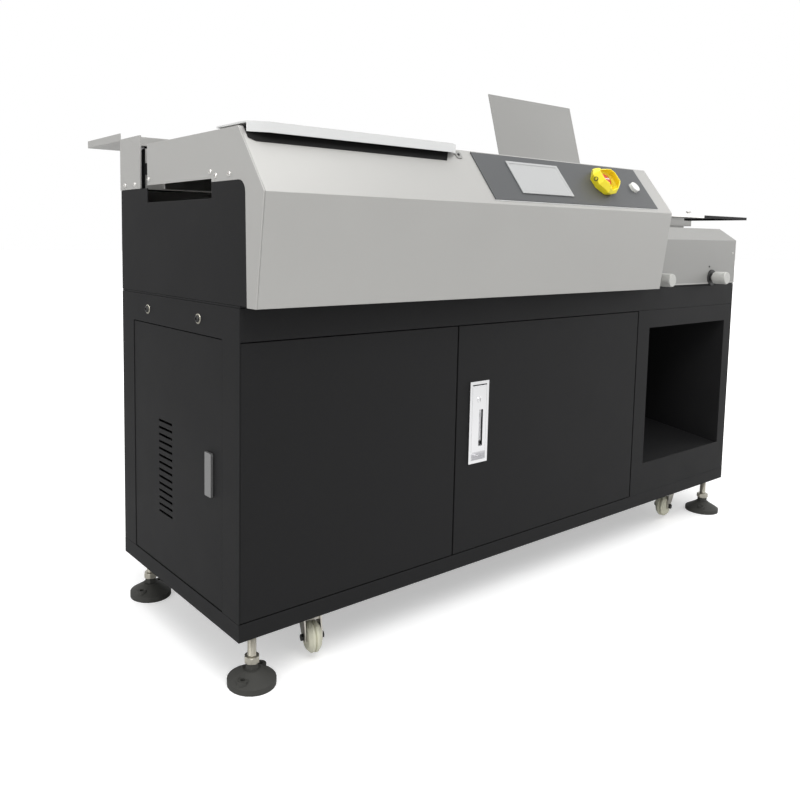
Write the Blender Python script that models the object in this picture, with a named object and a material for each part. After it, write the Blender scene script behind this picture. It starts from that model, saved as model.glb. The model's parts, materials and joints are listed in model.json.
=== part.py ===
"""A floor-standing thermal binding machine: a steel cabinet on levelling feet and castors, a sloping hood with
the controls, and a clamp carriage that carries a book block over a cutter and glue rollers to a cover table.

Metres, +Z up. X runs along the front from the left end, Y to the back, and every size below is measured from the
cabinet's front left bottom corner. An empty then moves the whole machine so that the origin is at the centre of
its box, on the floor.
"""

import math

import bmesh
import bpy
from mathutils import Vector

# Overall sizes
machine_length = 1.580
machine_depth = 0.640
ground_clearance = 0.084
lever_proud = 0.004
hood_overhang = 0.062
table_tip_x = machine_length - lever_proud
tray_back_y = machine_depth - hood_overhang

# Shared clearances and counts
fit_gap = 0.0003
running_gap = 0.00008
reveal = 0.0015
overrun = 0.010
weld = 0.001
round_sides = 24
small_sides = 20
ear_sides = 12
nut_sides = 6
seam_steps = 5

# Seams and vents along the machine, as shares of the cabinet's length
door_seam_share = 0.3125
hood_end_share = 0.7104885
rear_vent_shares = (0.25, 0.75)

# Gaps between the controls, as shares of the panel's length that the screen leaves free
screen_gap_share = 0.2289855
stop_gap_share = 0.3304348
start_gap_share = 0.3130435

# Gaps along the book's path, as shares of what the cutter and tank leave free before the hood's end
cutter_gap_share = 0.0368664
tank_gap_share = 0.1843318

# Cabinet
table_overhang = 0.184
cabinet_depth = 0.414
plinth_height = 0.027
pan_floor = 0.003
sheet = 0.002
rail_height = 0.048
rail_top = 0.485
rail_bottom = rail_top - rail_height
rail_flange = 0.036
corner_width = 0.049
post_leg = 0.030
stop_lip = 0.011
boss_radius = 0.014
boss_height = 0.018
mullion_width = 0.050

# Cabinet doors and panels
door_depth = 0.018
door_skin = 0.0015
door_lip = 0.012
door_stop_gap = 0.0005
bin_seam_inset = 0.0035
hinge_inset = 0.0035
hinge_depth = 0.001
side_door_depth = 0.002
side_hinge_inset = 0.002
louvre_width = 0.050
louvre_height = 0.004
louvre_pitch = 0.012
louvre_count = 14
louvre_back_inset = 0.097
louvre_base_z = 0.119
vent_width = 0.120
vent_count = 6
window_left_inset = 0.042
window_right_inset = 0.034
window_bottom_z = 0.096
window_top_z = 0.398

# Flush latch on the right door
latch_inset = 0.031
latch_width = 0.048
latch_bottom_z = 0.187
latch_height = 0.148
latch_proud = 0.003
latch_flange = 0.004
latch_pocket = 0.014
latch_wall = 0.0015
paddle_height = 0.118
paddle_thickness = 0.003
paddle_slot_width = 0.010
paddle_slot_height = 0.066
paddle_pin_radius = 0.002

# Lever lock on the left side door
lever_front_y = 0.077
lever_width = 0.019
lever_bottom_z = 0.195
lever_length = 0.067
lever_thickness = lever_proud + sheet / 2 - fit_gap
lever_pin_radius = 0.004
lever_pin_reach = 0.006

# Bin behind the window
liner_wall = 0.0015
liner_depth = 0.392
liner_slope_rise = 0.056
liner_sill = 0.004
liner_top_gap = 0.004

# Deck
deck_thickness = 0.003
deck_inset = 0.0005

# Hood and cheeks
hood_bend_z = 0.644
hood_top_y = 0.006
hood_top_z = 0.735
hood_foot_y = -0.043
hood_foot_z = 0.487
hood_sheet = 0.002
hood_top_flange = 0.054
hood_foot_flange = 0.023
cheek_inner_foot_y = -0.019
cheek_inner_top_y = -0.014
cheek_arc_bottom_z = 0.644
cheek_arc_radius = 0.018
cheek_low_z = 0.662
cheek_step_y = 0.081
cheek_step_z = 0.667
cheek_rear_y = 0.303
notch_bottom_z = 0.639

# Rear housing
housing_front_y = 0.333
housing_top_z = 0.750
housing_skirt = 0.015
bracket_top_z = 0.7526
bracket_bottom_z = 0.663
bracket_rear_y = 0.418

# Rear tray
tray_lip_height = 0.0134
tray_tongue = 0.036

# Leaning plate above the cover station
rest_reach = 0.040
rest_width = 0.326
rest_height = 0.197
rest_sheet = 0.0015
rest_lean = math.radians(15.4)
rest_foot_y = 0.361
rest_pin_radius = 0.003
rest_pin_rise = 0.0035

# Controls, in the slope's own plane: x along the machine, y up the slope
panel_left_gap = 0.041
panel_right_inset = 0.048
panel_low = 0.0085
panel_high = 0.110
panel_thickness = 0.0015
screen_width = 0.143
screen_low = 0.0245
screen_height = 0.0715
screen_thickness = 0.0018
screen_border = 0.005
screen_recess = 0.0008
stop_up = 0.062
stop_stem_radius = 0.011
stop_base_radius = 0.027
stop_base_thickness = 0.004
stop_wing_radius = 0.0325
stop_wing_height = 0.0215
stop_wing_wall = 0.0025
stop_wing_gap = 0.030
stop_lock_hole = 0.0035
stop_cap_radius = 0.016
stop_cap_low = 0.009
stop_cap_high = 0.020
start_up = 0.0585
start_radius = 0.011
start_proud = 0.006
start_depth = 0.018

# Nipping housing under the cover table, and its knobs
box_overhang = 0.002
box_front_top_z = 0.591
box_top_z = 0.619
box_chamfer_depth = 0.042
box_depth = 0.270
support_front_y = 0.064
support_depth = 0.016
support_step = 0.005
support_length = 0.309
support_height = 0.013
support_setback = 0.030
knob_left_inset = 0.059
knob_right_inset = 0.108
knob_z = 0.503
knob_radius = 0.0135
knob_length = 0.030
knob_standoff = 0.008
knob_shaft_radius = 0.006
knob_shaft_depth = 0.100

# Cover table
table_front_y = 0.064
table_rear_y = 0.300
table_top_z = 0.652
table_thickness = 0.007
bar_left_inset = 0.011
bar_width = 0.020
bar_thickness = 0.0015
bar_screw_inset = 0.053
bar_screw_radius = 0.006
bar_screw_neck = 0.003
bar_screw_height = 0.0065

# Nipping jaws and drop flap
nip_left_inset = 0.004
nip_right_inset = 0.003
nip_gap_front_y = 0.300
nip_gap_rear_y = 0.336
nip_bar_depth = 0.022
nip_bar_thickness = 0.0075
ledge_thickness = 0.003
flap_inset = 0.005
flap_front_y = 0.303
flap_rear_y = 0.334
flap_thickness = 0.006
flap_drop = 0.0006
flap_pin_radius = 0.003
flap_pin_drop = 0.011
flap_pin_back = 0.003
flap_ear_width = 0.004
flap_ear_reach = 0.009
deck_slot_front_y = 0.240

# Guides, screw and their end plates
guide_y = 0.380
upper_guide_z = 0.726
lower_guide_z = 0.684
screw_z = 0.705
guide_radius = 0.010
screw_radius = 0.006
end_plate_inset = 0.004
end_plate_thickness = 0.012
end_plate_front_y = 0.350
end_plate_rear_y = 0.410
end_plate_top_z = 0.746
motor_radius = 0.024
motor_length = 0.104
motor_z = 0.620

# Clamp carriage
carriage_left_x = 0.010
carriage_length = 0.390
jaw_low_z = 0.662
jaw_high_z = 0.722
rear_jaw_face_y = 0.3335
rear_jaw_back_y = 0.345
rear_jaw_top_z = 0.731
link_width = 0.012
link_low_z = 0.687
link_high_z = 0.706
beam_front_y = 0.084
beam_rear_y = 0.104
beam_low_z = 0.672
beam_high_z = 0.7267
slider_inset = 0.030
slider_length = 0.070
slider_rear_y = 0.403
slider_low_z = 0.664
slider_high_z = 0.744
front_jaw_inset = 0.016
front_jaw_rear_y = 0.300
front_jaw_thickness = 0.009
jaw_rod_radius = 0.008
jaw_rod_inset = 0.060
jaw_rod_front_y = 0.070
jaw_rod_z = 0.697
clamp_cover_front_y = 0.092
clamp_cover_rear_y = 0.296
clamp_cover_thickness = 0.0025

# Lid over the clamp's front
lid_left_overlap = 0.002
lid_right_overlap = 0.012
lid_front_y = -0.014
lid_rear_y = 0.080
lid_bottom_z = 0.727
lid_top_z = 0.7415
lid_sheet = 0.0025
lid_left_chamfer_x = 0.031
lid_right_chamfer_x = 0.0195
lid_chamfer_y = 0.011
lid_pin_y = 0.083
lid_pin_z = 0.733
lid_pin_radius = 0.0025
lid_knuckle_radius = 0.0033
lid_knuckle_inset = 0.030
lid_knuckle_length = 0.030
lid_ear_width = 0.004
lid_ear_reach = 0.004

# Cutter
work_line_y = 0.318
cutter_radius = 0.070
cutter_tooth_depth = 0.006
cutter_teeth = 24
cutter_thickness = 0.004
cutter_top_z = 0.654
spindle_radius = 0.008
cutter_motor_radius = 0.045
cutter_motor_height = 0.110
spindle_seat = 0.020

# Glue tank and rollers
tank_length = 0.220
tank_front_y = 0.262
tank_depth = 0.112
tank_low_z = 0.560
tank_top_z = 0.640
tank_wall = 0.004
tank_leg = 0.020
roller_radius = 0.028
roller_top_z = 0.652
roller_spacing = 0.080
roller_end_gap = 0.004
roller_shaft_radius = 0.006
roller_shaft_reach = 0.011

# Electrical box
electric_left_x = 0.060
electric_length = 0.260
electric_depth = 0.150
electric_height = 0.300

# Levelling feet
foot_inset_x = 0.038
foot_inset_y = 0.026
foot_pad_radius = 0.0375
foot_rim_height = 0.009
foot_cone_height = 0.024
foot_neck_radius = 0.014
foot_stud_radius = 0.006
foot_nut_radius = 0.0105
foot_nut_height = 0.010
foot_ear_radius = 0.009
foot_ear_hole = 0.004
foot_ear_offset = 0.026
foot_turn = math.radians(28)

# Castors
castor_inset_x = 0.160
castor_inset_y = 0.052
castor_plate_x = 0.062
castor_plate_y = 0.056
castor_plate_thickness = 0.0025
castor_drop = 0.049
castor_trail = 0.020
castor_wheel_radius = 0.025
castor_wheel_width = 0.022
castor_groove = 0.003
castor_head_radius = 0.019
castor_head_height = 0.007
castor_leg = 0.0025
castor_leg_gap = 0.0015
castor_leg_reach = 0.009
castor_axle_radius = 0.004
castor_pin_radius = 0.004
castor_headings = (math.radians(-17), math.radians(-80), math.radians(35), math.radians(200))

# Places along the machine that follow from its length
cabinet_length = table_tip_x - table_overhang
door_seam_x = cabinet_length * door_seam_share
latch_left_x = door_seam_x + latch_inset
hood_end_x = cabinet_length * hood_end_share
bin_seam_x = hood_end_x - bin_seam_inset
window_left_x = hood_end_x + window_left_inset
window_right_x = cabinet_length - window_right_inset
rest_left_x = hood_end_x - rest_reach
box_right_x = cabinet_length + box_overhang
knob_left_x = hood_end_x + knob_left_inset
knob_right_x = cabinet_length - knob_right_inset
nip_left_x = window_left_x + nip_left_inset
nip_right_x = window_right_x - nip_right_inset
bar_left_x = hood_end_x + bar_left_inset
bar_screw_x = nip_right_x - bar_screw_inset
tray_length = carriage_left_x + carriage_length
lid_left_x = carriage_left_x - lid_left_overlap
lid_length = carriage_length + lid_left_overlap + lid_right_overlap
panel_left_x = lid_left_x + lid_length + panel_left_gap
panel_right_x = hood_end_x - panel_right_inset
panel_free = panel_right_x - panel_left_x - screen_width
screen_left_x = panel_left_x + panel_free * screen_gap_share
stop_x = screen_left_x + screen_width + panel_free * stop_gap_share
start_x = stop_x + panel_free * start_gap_share
path_left_x = lid_left_x + lid_length
path_free = hood_end_x - path_left_x - 2 * cutter_radius - tank_length
cutter_x = path_left_x + path_free * cutter_gap_share + cutter_radius
tank_left_x = cutter_x + cutter_radius + path_free * tank_gap_share

# Sizes that follow from the ones above
deck_low_z = rail_top + fit_gap
deck_top_z = deck_low_z + deck_thickness
deck_seat_z = deck_top_z + fit_gap
panel_seat = plinth_height + fit_gap
panel_head = rail_bottom - fit_gap
door_low_z = plinth_height + reveal
door_high_z = rail_bottom - reveal
stop_leg_y = door_depth + door_stop_gap
side_stop_x = sheet / 2 + side_door_depth + door_stop_gap
table_low_z = table_top_z - table_thickness
table_seat_z = table_top_z + fit_gap
slope_angle = math.atan2(hood_top_z - hood_bend_z, hood_top_y + hood_overhang)
wall_y = cabinet_depth - sheet

black = ("black_powder_coat", (0.030, 0.030, 0.032), 0.55, 0.0)
silver = ("silver_paint", (0.52, 0.51, 0.49), 0.42, 0.3)
pale = ("pale_paint", (0.74, 0.74, 0.73), 0.40, 0.1)
slate = ("slate_panel", (0.13, 0.135, 0.14), 0.45, 0.0)
steel = ("bright_steel", (0.62, 0.61, 0.58), 0.28, 1.0)
zinc = ("zinc_plate", (0.55, 0.53, 0.47), 0.38, 1.0)
chrome = ("chrome", (0.75, 0.75, 0.76), 0.12, 1.0)
aluminium = ("aluminium", (0.60, 0.60, 0.60), 0.35, 1.0)
cream = ("cream_wheel", (0.60, 0.60, 0.46), 0.50, 0.0)
rubber = ("dark_rubber", (0.055, 0.055, 0.050), 0.75, 0.0)
yellow = ("yellow_plastic", (0.90, 0.74, 0.02), 0.40, 0.0)
red = ("red_plastic", (0.55, 0.03, 0.02), 0.35, 0.0)
white = ("white_plastic", (0.75, 0.75, 0.72), 0.35, 0.0)
grey = ("grey_metal", (0.28, 0.28, 0.28), 0.45, 0.6)


def block(x0, x1, y0, y1, z0, z1):
    """A box between two corners."""
    points = [(x, y, z) for x in (x0, x1) for y in (y0, y1) for z in (z0, z1)]
    faces = [(0, 1, 3, 2), (4, 6, 7, 5), (0, 4, 5, 1), (2, 3, 7, 6), (0, 2, 6, 4), (1, 5, 7, 3)]
    return points, faces


def placed(axis, along, u, v):
    """A point from its place along an axis and its two places across it, in X, Y, Z order."""
    if axis == "X":
        return along, u, v
    if axis == "Y":
        return u, along, v
    return u, v, along


def prism(axis, outline, low, high):
    """An outline carried straight along an axis."""
    count = len(outline)
    points = [placed(axis, low, u, v) for u, v in outline]
    points += [placed(axis, high, u, v) for u, v in outline]
    faces = [tuple(range(count)), tuple(range(count, 2 * count))]
    for i in range(count):
        j = (i + 1) % count
        faces.append((i, j, count + j, count + i))
    return points, faces


def ring(centre, radius, sides=round_sides):
    """The corners of a round outline."""
    step = 2 * math.pi / sides
    return [
        (centre[0] + radius * math.cos(i * step), centre[1] + radius * math.sin(i * step))
        for i in range(sides)
    ]


def rod(axis, centre, radius, low, high, sides=round_sides):
    """A straight cylinder along an axis."""
    return prism(axis, ring(centre, radius, sides), low, high)


def turned(axis, centre, profile, sides=round_sides):
    """A profile of (radius, place along the axis) pairs turned about that axis, with flat ends."""
    points = []
    faces = []
    for radius, along in profile:
        points += [placed(axis, along, u, v) for u, v in ring(centre, radius, sides)]
    for k in range(len(profile) - 1):
        for i in range(sides):
            j = (i + 1) % sides
            faces.append((k * sides + i, k * sides + j, (k + 1) * sides + j, (k + 1) * sides + i))
    last = (len(profile) - 1) * sides
    faces.append(tuple(range(sides)))
    faces.append(tuple(range(last, last + sides)))
    return points, faces


def arc(centre, radius, start, end, steps):
    """Points on an arc, from one angle to the other in degrees."""
    angles = [math.radians(start + (end - start) * i / steps) for i in range(steps + 1)]
    return [(centre[0] + radius * math.cos(a), centre[1] + radius * math.sin(a)) for a in angles]


def mirrored(outline, length):
    """An outline reflected from the machine's left end to its right end."""
    return [(length - u, v) for u, v in reversed(outline)]


def mesh_of(name, shapes, origin):
    mesh = bpy.data.meshes.new(name)
    work = bmesh.new()
    for points, faces in shapes:
        corners = [work.verts.new(Vector(point) - Vector(origin)) for point in points]
        for face in faces:
            work.faces.new([corners[i] for i in face])
    bmesh.ops.recalc_face_normals(work, faces=work.faces)
    work.to_mesh(mesh)
    work.free()
    return mesh


def finish(look):
    """The material of a look, made once."""
    name, colour, roughness, metallic = look
    found = bpy.data.materials.get(name)
    if found:
        return found
    made = bpy.data.materials.new(name)
    made.use_nodes = True
    shader = made.node_tree.nodes["Principled BSDF"]
    shader.inputs["Base Color"].default_value = (*colour, 1)
    shader.inputs["Roughness"].default_value = roughness
    shader.inputs["Metallic"].default_value = metallic
    return made


def put(name, mesh, parent, origin, turn):
    obj = bpy.data.objects.new(name, mesh)
    bpy.context.scene.collection.objects.link(obj)
    obj.parent = parent
    obj.location = origin
    obj.rotation_euler = turn
    return obj


def solid(name, look, base, *steps, parent=None, origin=(0, 0, 0), smooth=False, turn=(0, 0, 0)):
    """One named piece: a base shape, then joins and cuts in order. Its origin is given in its parent's frame."""
    home = parent or machine
    obj = put(name, mesh_of(name, [base], origin), home, origin, turn)
    obj.data.materials.append(finish(look))
    for number, (kind, shapes) in enumerate(steps):
        label = f"{name}_{kind}_{number}"
        helper = put(label, mesh_of(label, shapes, origin), home, origin, turn)
        helper.hide_render = True
        helper.display_type = "WIRE"
        change = obj.modifiers.new(label, "BOOLEAN")
        change.operation = "UNION" if kind == "join" else "DIFFERENCE"
        change.object = helper
        change.use_self = True
    if smooth:
        obj.data.shade_smooth()
        obj.data.set_sharp_from_angle(angle=math.radians(35))
    return obj


def empty(name, location, turn=(0, 0, 0), parent=None):
    made = bpy.data.objects.new(name, None)
    bpy.context.scene.collection.objects.link(made)
    made.parent = parent
    made.location = location
    made.rotation_euler = turn
    return made


def corners_of(inset_x, inset_y):
    """The same place near each corner of the cabinet: front left, front right, rear left, rear right."""
    far_x = cabinet_length - inset_x
    far_y = cabinet_depth - inset_y
    return [(inset_x, inset_y), (far_x, inset_y), (inset_x, far_y), (far_x, far_y)]


def base_pan():
    feet = corners_of(foot_inset_x, foot_inset_y)
    castors = corners_of(castor_inset_x, castor_inset_y)
    bosses = [rod("Z", place, boss_radius, weld, boss_height) for place in feet]
    half_x = castor_plate_x / 2
    half_y = castor_plate_y / 2
    plates = [
        block(x - half_x, x + half_x, y - half_y, y + half_y, -castor_plate_thickness, weld)
        for x, y in castors
    ]
    stud_holes = [
        rod("Z", place, foot_stud_radius + running_gap, -overrun, boss_height + overrun) for place in feet
    ]
    pin_holes = [
        rod("Z", place, castor_pin_radius + running_gap, -overrun, overrun, small_sides) for place in castors
    ]
    solid(
        "base_pan",
        black,
        block(0, cabinet_length, 0, cabinet_depth, 0, plinth_height),
        (
            "cut",
            [
                block(
                    sheet,
                    cabinet_length - sheet,
                    sheet,
                    cabinet_depth - sheet,
                    pan_floor,
                    plinth_height + overrun,
                )
            ],
        ),
        ("join", bosses + plates),
        ("cut", stud_holes + pin_holes),
    )


def cabinet_frame():
    """Four corner posts and the rail round the top, with the mullion between the right door and the bin."""
    front = [
        (0, 0),
        (sheet, 0),
        (sheet, stop_leg_y),
        (post_leg, stop_leg_y),
        (post_leg, stop_leg_y + sheet),
        (side_stop_x + sheet, stop_leg_y + sheet),
        (side_stop_x + sheet, corner_width + stop_lip),
        (side_stop_x, corner_width + stop_lip),
        (side_stop_x, corner_width),
        (0, corner_width),
    ]
    rear = [
        (0, cabinet_depth - corner_width),
        (sheet, cabinet_depth - corner_width),
        (sheet, wall_y),
        (post_leg, wall_y),
        (post_leg, cabinet_depth),
        (0, cabinet_depth),
    ]
    top = rail_top - sheet / 2
    outlines = [front, rear, mirrored(front, cabinet_length), mirrored(rear, cabinet_length)]
    posts = [prism("Z", outline, panel_seat, top) for outline in outlines]
    mullion_x = window_left_x - liner_wall - fit_gap
    mullion = block(
        mullion_x - mullion_width, mullion_x, stop_leg_y, stop_leg_y + sheet, panel_seat, top
    )
    hollow = block(
        sheet,
        cabinet_length - sheet,
        sheet,
        cabinet_depth - sheet,
        rail_bottom - overrun,
        rail_top - sheet,
    )
    hatch = block(
        rail_flange,
        cabinet_length - rail_flange,
        rail_flange,
        cabinet_depth - rail_flange,
        rail_bottom,
        rail_top + overrun,
    )
    solid(
        "cabinet_frame",
        black,
        block(0, cabinet_length, 0, cabinet_depth, rail_bottom, rail_top),
        ("cut", [hollow]),
        ("cut", [hatch]),
        ("join", posts + [mullion]),
    )


def deck_plate():
    """The machine bed, with the drop slot, the cutter motor's hole and the ledge of the rear nipping jaw."""
    far_x = cabinet_length - deck_inset
    far_y = cabinet_depth - deck_inset
    ledge_y = nip_gap_rear_y + weld
    ledge_outline = [
        (ledge_y, deck_top_z - weld),
        (ledge_y + ledge_thickness, deck_top_z - weld),
        (ledge_y + ledge_thickness, table_top_z - ledge_thickness),
        (ledge_y + nip_bar_depth, table_top_z - ledge_thickness),
        (ledge_y + nip_bar_depth, table_top_z),
        (ledge_y, table_top_z),
    ]
    slot = block(
        window_left_x,
        window_right_x,
        deck_slot_front_y,
        nip_gap_rear_y,
        deck_low_z - overrun,
        deck_top_z + overrun,
    )
    solid(
        "deck_plate",
        black,
        block(deck_inset, far_x, deck_inset, far_y, deck_low_z, deck_top_z),
        ("join", [prism("X", ledge_outline, nip_left_x, nip_right_x)]),
        ("cut", [slot]),
    )


def side_panels():
    """The hinged panel on the left with its louvres and lever, and the fixed one on the right."""
    front_y = corner_width + reveal
    rear_y = cabinet_depth - corner_width - reveal
    outer_x = sheet / 2
    pivot = (outer_x + side_door_depth / 2, rear_y - side_hinge_inset, 0)
    slots = []
    slot_rear = rear_y - louvre_back_inset
    for i in range(louvre_count):
        low = louvre_base_z + i * louvre_pitch
        slots.append(
            block(
                outer_x - overrun,
                outer_x + side_door_depth + overrun,
                slot_rear - louvre_width,
                slot_rear,
                low,
                low + louvre_height,
            )
        )
    pin_z = lever_bottom_z + lever_length - lever_width / 2
    pin_y = lever_front_y + lever_width / 2
    pin = rod(
        "X",
        (pin_y, pin_z),
        lever_pin_radius + running_gap,
        outer_x - overrun,
        outer_x + side_door_depth + overrun,
        small_sides,
    )
    solid(
        "left_side_door",
        black,
        block(outer_x, outer_x + side_door_depth, front_y, rear_y, door_low_z, door_high_z),
        ("cut", slots + [pin]),
        origin=pivot,
    )
    lever_x = outer_x - fit_gap
    pin_end = outer_x + side_door_depth + lever_pin_reach
    solid(
        "side_lock_lever",
        grey,
        block(
            lever_x - lever_thickness,
            lever_x,
            lever_front_y,
            lever_front_y + lever_width,
            lever_bottom_z,
            lever_bottom_z + lever_length,
        ),
        ("join", [rod("X", (pin_y, pin_z), lever_pin_radius, lever_x - weld, pin_end, small_sides)]),
        origin=(lever_x, pin_y, pin_z),
    )
    slots = []
    middle_y = cabinet_depth / 2
    for i in range(vent_count):
        low = louvre_base_z + i * louvre_pitch
        slots.append(
            block(
                cabinet_length - sheet - overrun,
                cabinet_length + overrun,
                middle_y - vent_width / 2,
                middle_y + vent_width / 2,
                low,
                low + louvre_height,
            )
        )
    solid(
        "right_side_panel",
        black,
        block(
            cabinet_length - sheet,
            cabinet_length,
            corner_width + fit_gap,
            cabinet_depth - corner_width - fit_gap,
            panel_seat,
            panel_head,
        ),
        ("cut", slots),
    )


def rear_panel():
    slots = []
    for share in rear_vent_shares:
        middle_x = cabinet_length * share
        for i in range(vent_count):
            low = louvre_base_z + i * louvre_pitch
            slots.append(
                block(
                    middle_x - vent_width / 2,
                    middle_x + vent_width / 2,
                    wall_y - overrun,
                    cabinet_depth + overrun,
                    low,
                    low + louvre_height,
                )
            )
    solid(
        "rear_panel",
        black,
        block(
            post_leg + fit_gap,
            cabinet_length - post_leg - fit_gap,
            wall_y,
            cabinet_depth,
            panel_seat,
            panel_head,
        ),
        ("cut", slots),
    )


def pan_door(name, left_x, right_x, pivot_x, *steps):
    """A folded door, open at the back, on a hinge line near its front edge."""
    return solid(
        name,
        black,
        block(left_x, right_x, 0, door_depth, door_low_z, door_high_z),
        (
            "cut",
            [
                block(
                    left_x + door_skin,
                    right_x - door_skin,
                    door_skin,
                    door_depth - door_skin,
                    door_low_z + door_skin,
                    door_high_z - door_skin,
                ),
                block(
                    left_x + door_lip,
                    right_x - door_lip,
                    door_depth / 2,
                    door_depth + overrun,
                    door_low_z + door_lip,
                    door_high_z - door_lip,
                ),
            ],
        ),
        *steps,
        origin=(pivot_x, hinge_depth, 0),
    )


def front_doors():
    left_edge = sheet + fit_gap
    middle = door_seam_x
    pan_door("left_door", left_edge, middle - reveal, left_edge + hinge_inset)
    hole = block(
        latch_left_x + latch_flange,
        latch_left_x + latch_width - latch_flange,
        -overrun,
        door_depth / 2,
        latch_bottom_z + latch_flange,
        latch_bottom_z + latch_height - latch_flange,
    )
    right_edge = bin_seam_x - reveal
    pan_door("right_door", middle + reveal, right_edge, right_edge - hinge_inset, ("cut", [hole]))


def door_latch():
    """A flush pocket in the right door, with a paddle that pulls out from its lower end."""
    right_x = latch_left_x + latch_width
    top_z = latch_bottom_z + latch_height
    inner = latch_flange + fit_gap
    middle_x = latch_left_x + latch_width / 2
    shell = block(
        latch_left_x + inner,
        right_x - inner,
        -latch_proud + weld,
        latch_pocket,
        latch_bottom_z + inner,
        top_z - inner,
    )
    wall = inner + latch_wall
    pocket = block(
        latch_left_x + wall,
        right_x - wall,
        -latch_proud - overrun,
        latch_pocket - latch_wall,
        latch_bottom_z + wall,
        top_z - wall,
    )
    pin_z = top_z - wall - 2 * paddle_pin_radius
    pin_y = 0
    pin_hole = rod(
        "X",
        (pin_y, pin_z),
        paddle_pin_radius + running_gap,
        latch_left_x + latch_flange / 2,
        right_x - latch_flange / 2,
        small_sides,
    )
    origin = (middle_x, pin_y, pin_z)
    solid(
        "latch_housing",
        chrome,
        block(latch_left_x, right_x, -latch_proud, -fit_gap, latch_bottom_z, top_z),
        ("join", [shell]),
        ("cut", [pocket]),
        ("cut", [pin_hole]),
    )
    left = latch_left_x + wall + fit_gap
    right = right_x - wall - fit_gap
    slot_low = pin_z - paddle_height + paddle_slot_width
    solid(
        "latch_paddle",
        chrome,
        block(left, right, pin_y - paddle_thickness, pin_y + weld, pin_z - paddle_height, pin_z),
        (
            "join",
            [rod("X", (pin_y, pin_z), paddle_pin_radius, left - latch_wall, right + latch_wall, small_sides)],
        ),
        (
            "cut",
            [
                block(
                    middle_x,
                    middle_x + paddle_slot_width,
                    -overrun,
                    overrun,
                    slot_low,
                    slot_low + paddle_slot_height,
                )
            ],
        ),
        origin=origin,
    )


def book_bin():
    """The window panel on the right and the sloping bin behind it."""
    window = block(window_left_x, window_right_x, -overrun, overrun, window_bottom_z, window_top_z)
    solid(
        "bin_front_panel",
        black,
        block(
            bin_seam_x + reveal,
            cabinet_length - sheet - fit_gap,
            0,
            sheet,
            panel_seat,
            panel_head,
        ),
        ("cut", [window]),
    )
    front_y = sheet + fit_gap
    rear_y = front_y + liner_depth
    sill_z = window_bottom_z - liner_sill
    top_z = rail_top - liner_top_gap
    outer = [
        (front_y, sill_z),
        (rear_y, sill_z + liner_slope_rise),
        (rear_y, top_z),
        (front_y, top_z),
    ]
    inner = [
        (front_y - overrun, sill_z + liner_wall),
        (front_y, sill_z + liner_wall),
        (rear_y - liner_wall, sill_z + liner_slope_rise + liner_wall),
        (rear_y - liner_wall, top_z + overrun),
        (front_y - overrun, top_z + overrun),
    ]
    solid(
        "bin_liner",
        black,
        prism("X", outer, window_left_x - liner_wall, window_right_x + liner_wall),
        ("cut", [prism("X", inner, window_left_x, window_right_x)]),
    )


def left_end_outlines():
    """The silver cheek and the black panel that it wraps, as (y, z) outlines that share one seam."""
    centre = (cheek_inner_top_y + cheek_arc_radius, cheek_arc_bottom_z)
    seam = arc(centre, cheek_arc_radius, 180, 90, seam_steps)
    cheek = [(hood_foot_y, hood_foot_z), (-hood_overhang, hood_bend_z), (hood_top_y, hood_top_z)]
    cheek += [(cheek_rear_y, hood_top_z), (cheek_rear_y, cheek_step_z), (cheek_step_y, cheek_step_z)]
    cheek += [(cheek_step_y, cheek_low_z)] + seam[::-1]
    cheek += [(cheek_inner_foot_y, hood_foot_z)]
    inner_centre = (centre[0] + fit_gap, centre[1] - fit_gap)
    inner_seam = arc(inner_centre, cheek_arc_radius, 180, 90, seam_steps)
    panel = [(cheek_inner_foot_y + fit_gap, deck_seat_z)] + inner_seam
    panel += [(cheek_step_y, inner_seam[-1][1]), (cheek_step_y, notch_bottom_z)]
    panel += [(cheek_rear_y, notch_bottom_z), (cheek_rear_y, bracket_bottom_z - fit_gap)]
    panel += [(cabinet_depth, bracket_bottom_z - fit_gap), (cabinet_depth, deck_seat_z)]
    return cheek, panel


def left_end():
    cheek, panel = left_end_outlines()
    solid("left_cheek", silver, prism("X", cheek, 0, sheet))
    solid("left_upper_panel", black, prism("X", panel, 0, sheet))


def front_hood():
    """The folded hood: sloping face, front face, both return flanges and the right end."""
    left_x = sheet + fit_gap
    drop = hood_sheet / math.cos(slope_angle)
    inset = hood_sheet / math.sin(slope_angle)
    top_y = hood_top_y
    section = [
        (hood_foot_y, hood_foot_z),
        (-hood_overhang, hood_bend_z),
        (top_y, hood_top_z),
        (top_y + hood_top_flange, hood_top_z),
        (top_y + hood_top_flange, hood_top_z - hood_sheet),
        (top_y + inset - hood_sheet / math.tan(slope_angle), hood_top_z - hood_sheet),
        (-hood_overhang + hood_sheet, hood_bend_z + hood_sheet * math.tan(slope_angle) - drop),
        (hood_foot_y + hood_sheet, hood_foot_z + hood_sheet),
        (hood_foot_y + hood_foot_flange, hood_foot_z + hood_sheet),
        (hood_foot_y + hood_foot_flange, hood_foot_z),
    ]
    end = [
        (hood_foot_y, hood_foot_z),
        (-hood_overhang, hood_bend_z),
        (top_y, hood_top_z),
        (top_y + hood_top_flange, hood_top_z),
        (top_y + hood_top_flange, deck_seat_z),
        (-fit_gap, deck_seat_z),
        (-fit_gap, hood_foot_z),
    ]
    solid(
        "front_hood",
        silver,
        prism("X", section, left_x, hood_end_x),
        ("join", [prism("X", end, hood_end_x - hood_sheet, hood_end_x)]),
    )


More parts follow.
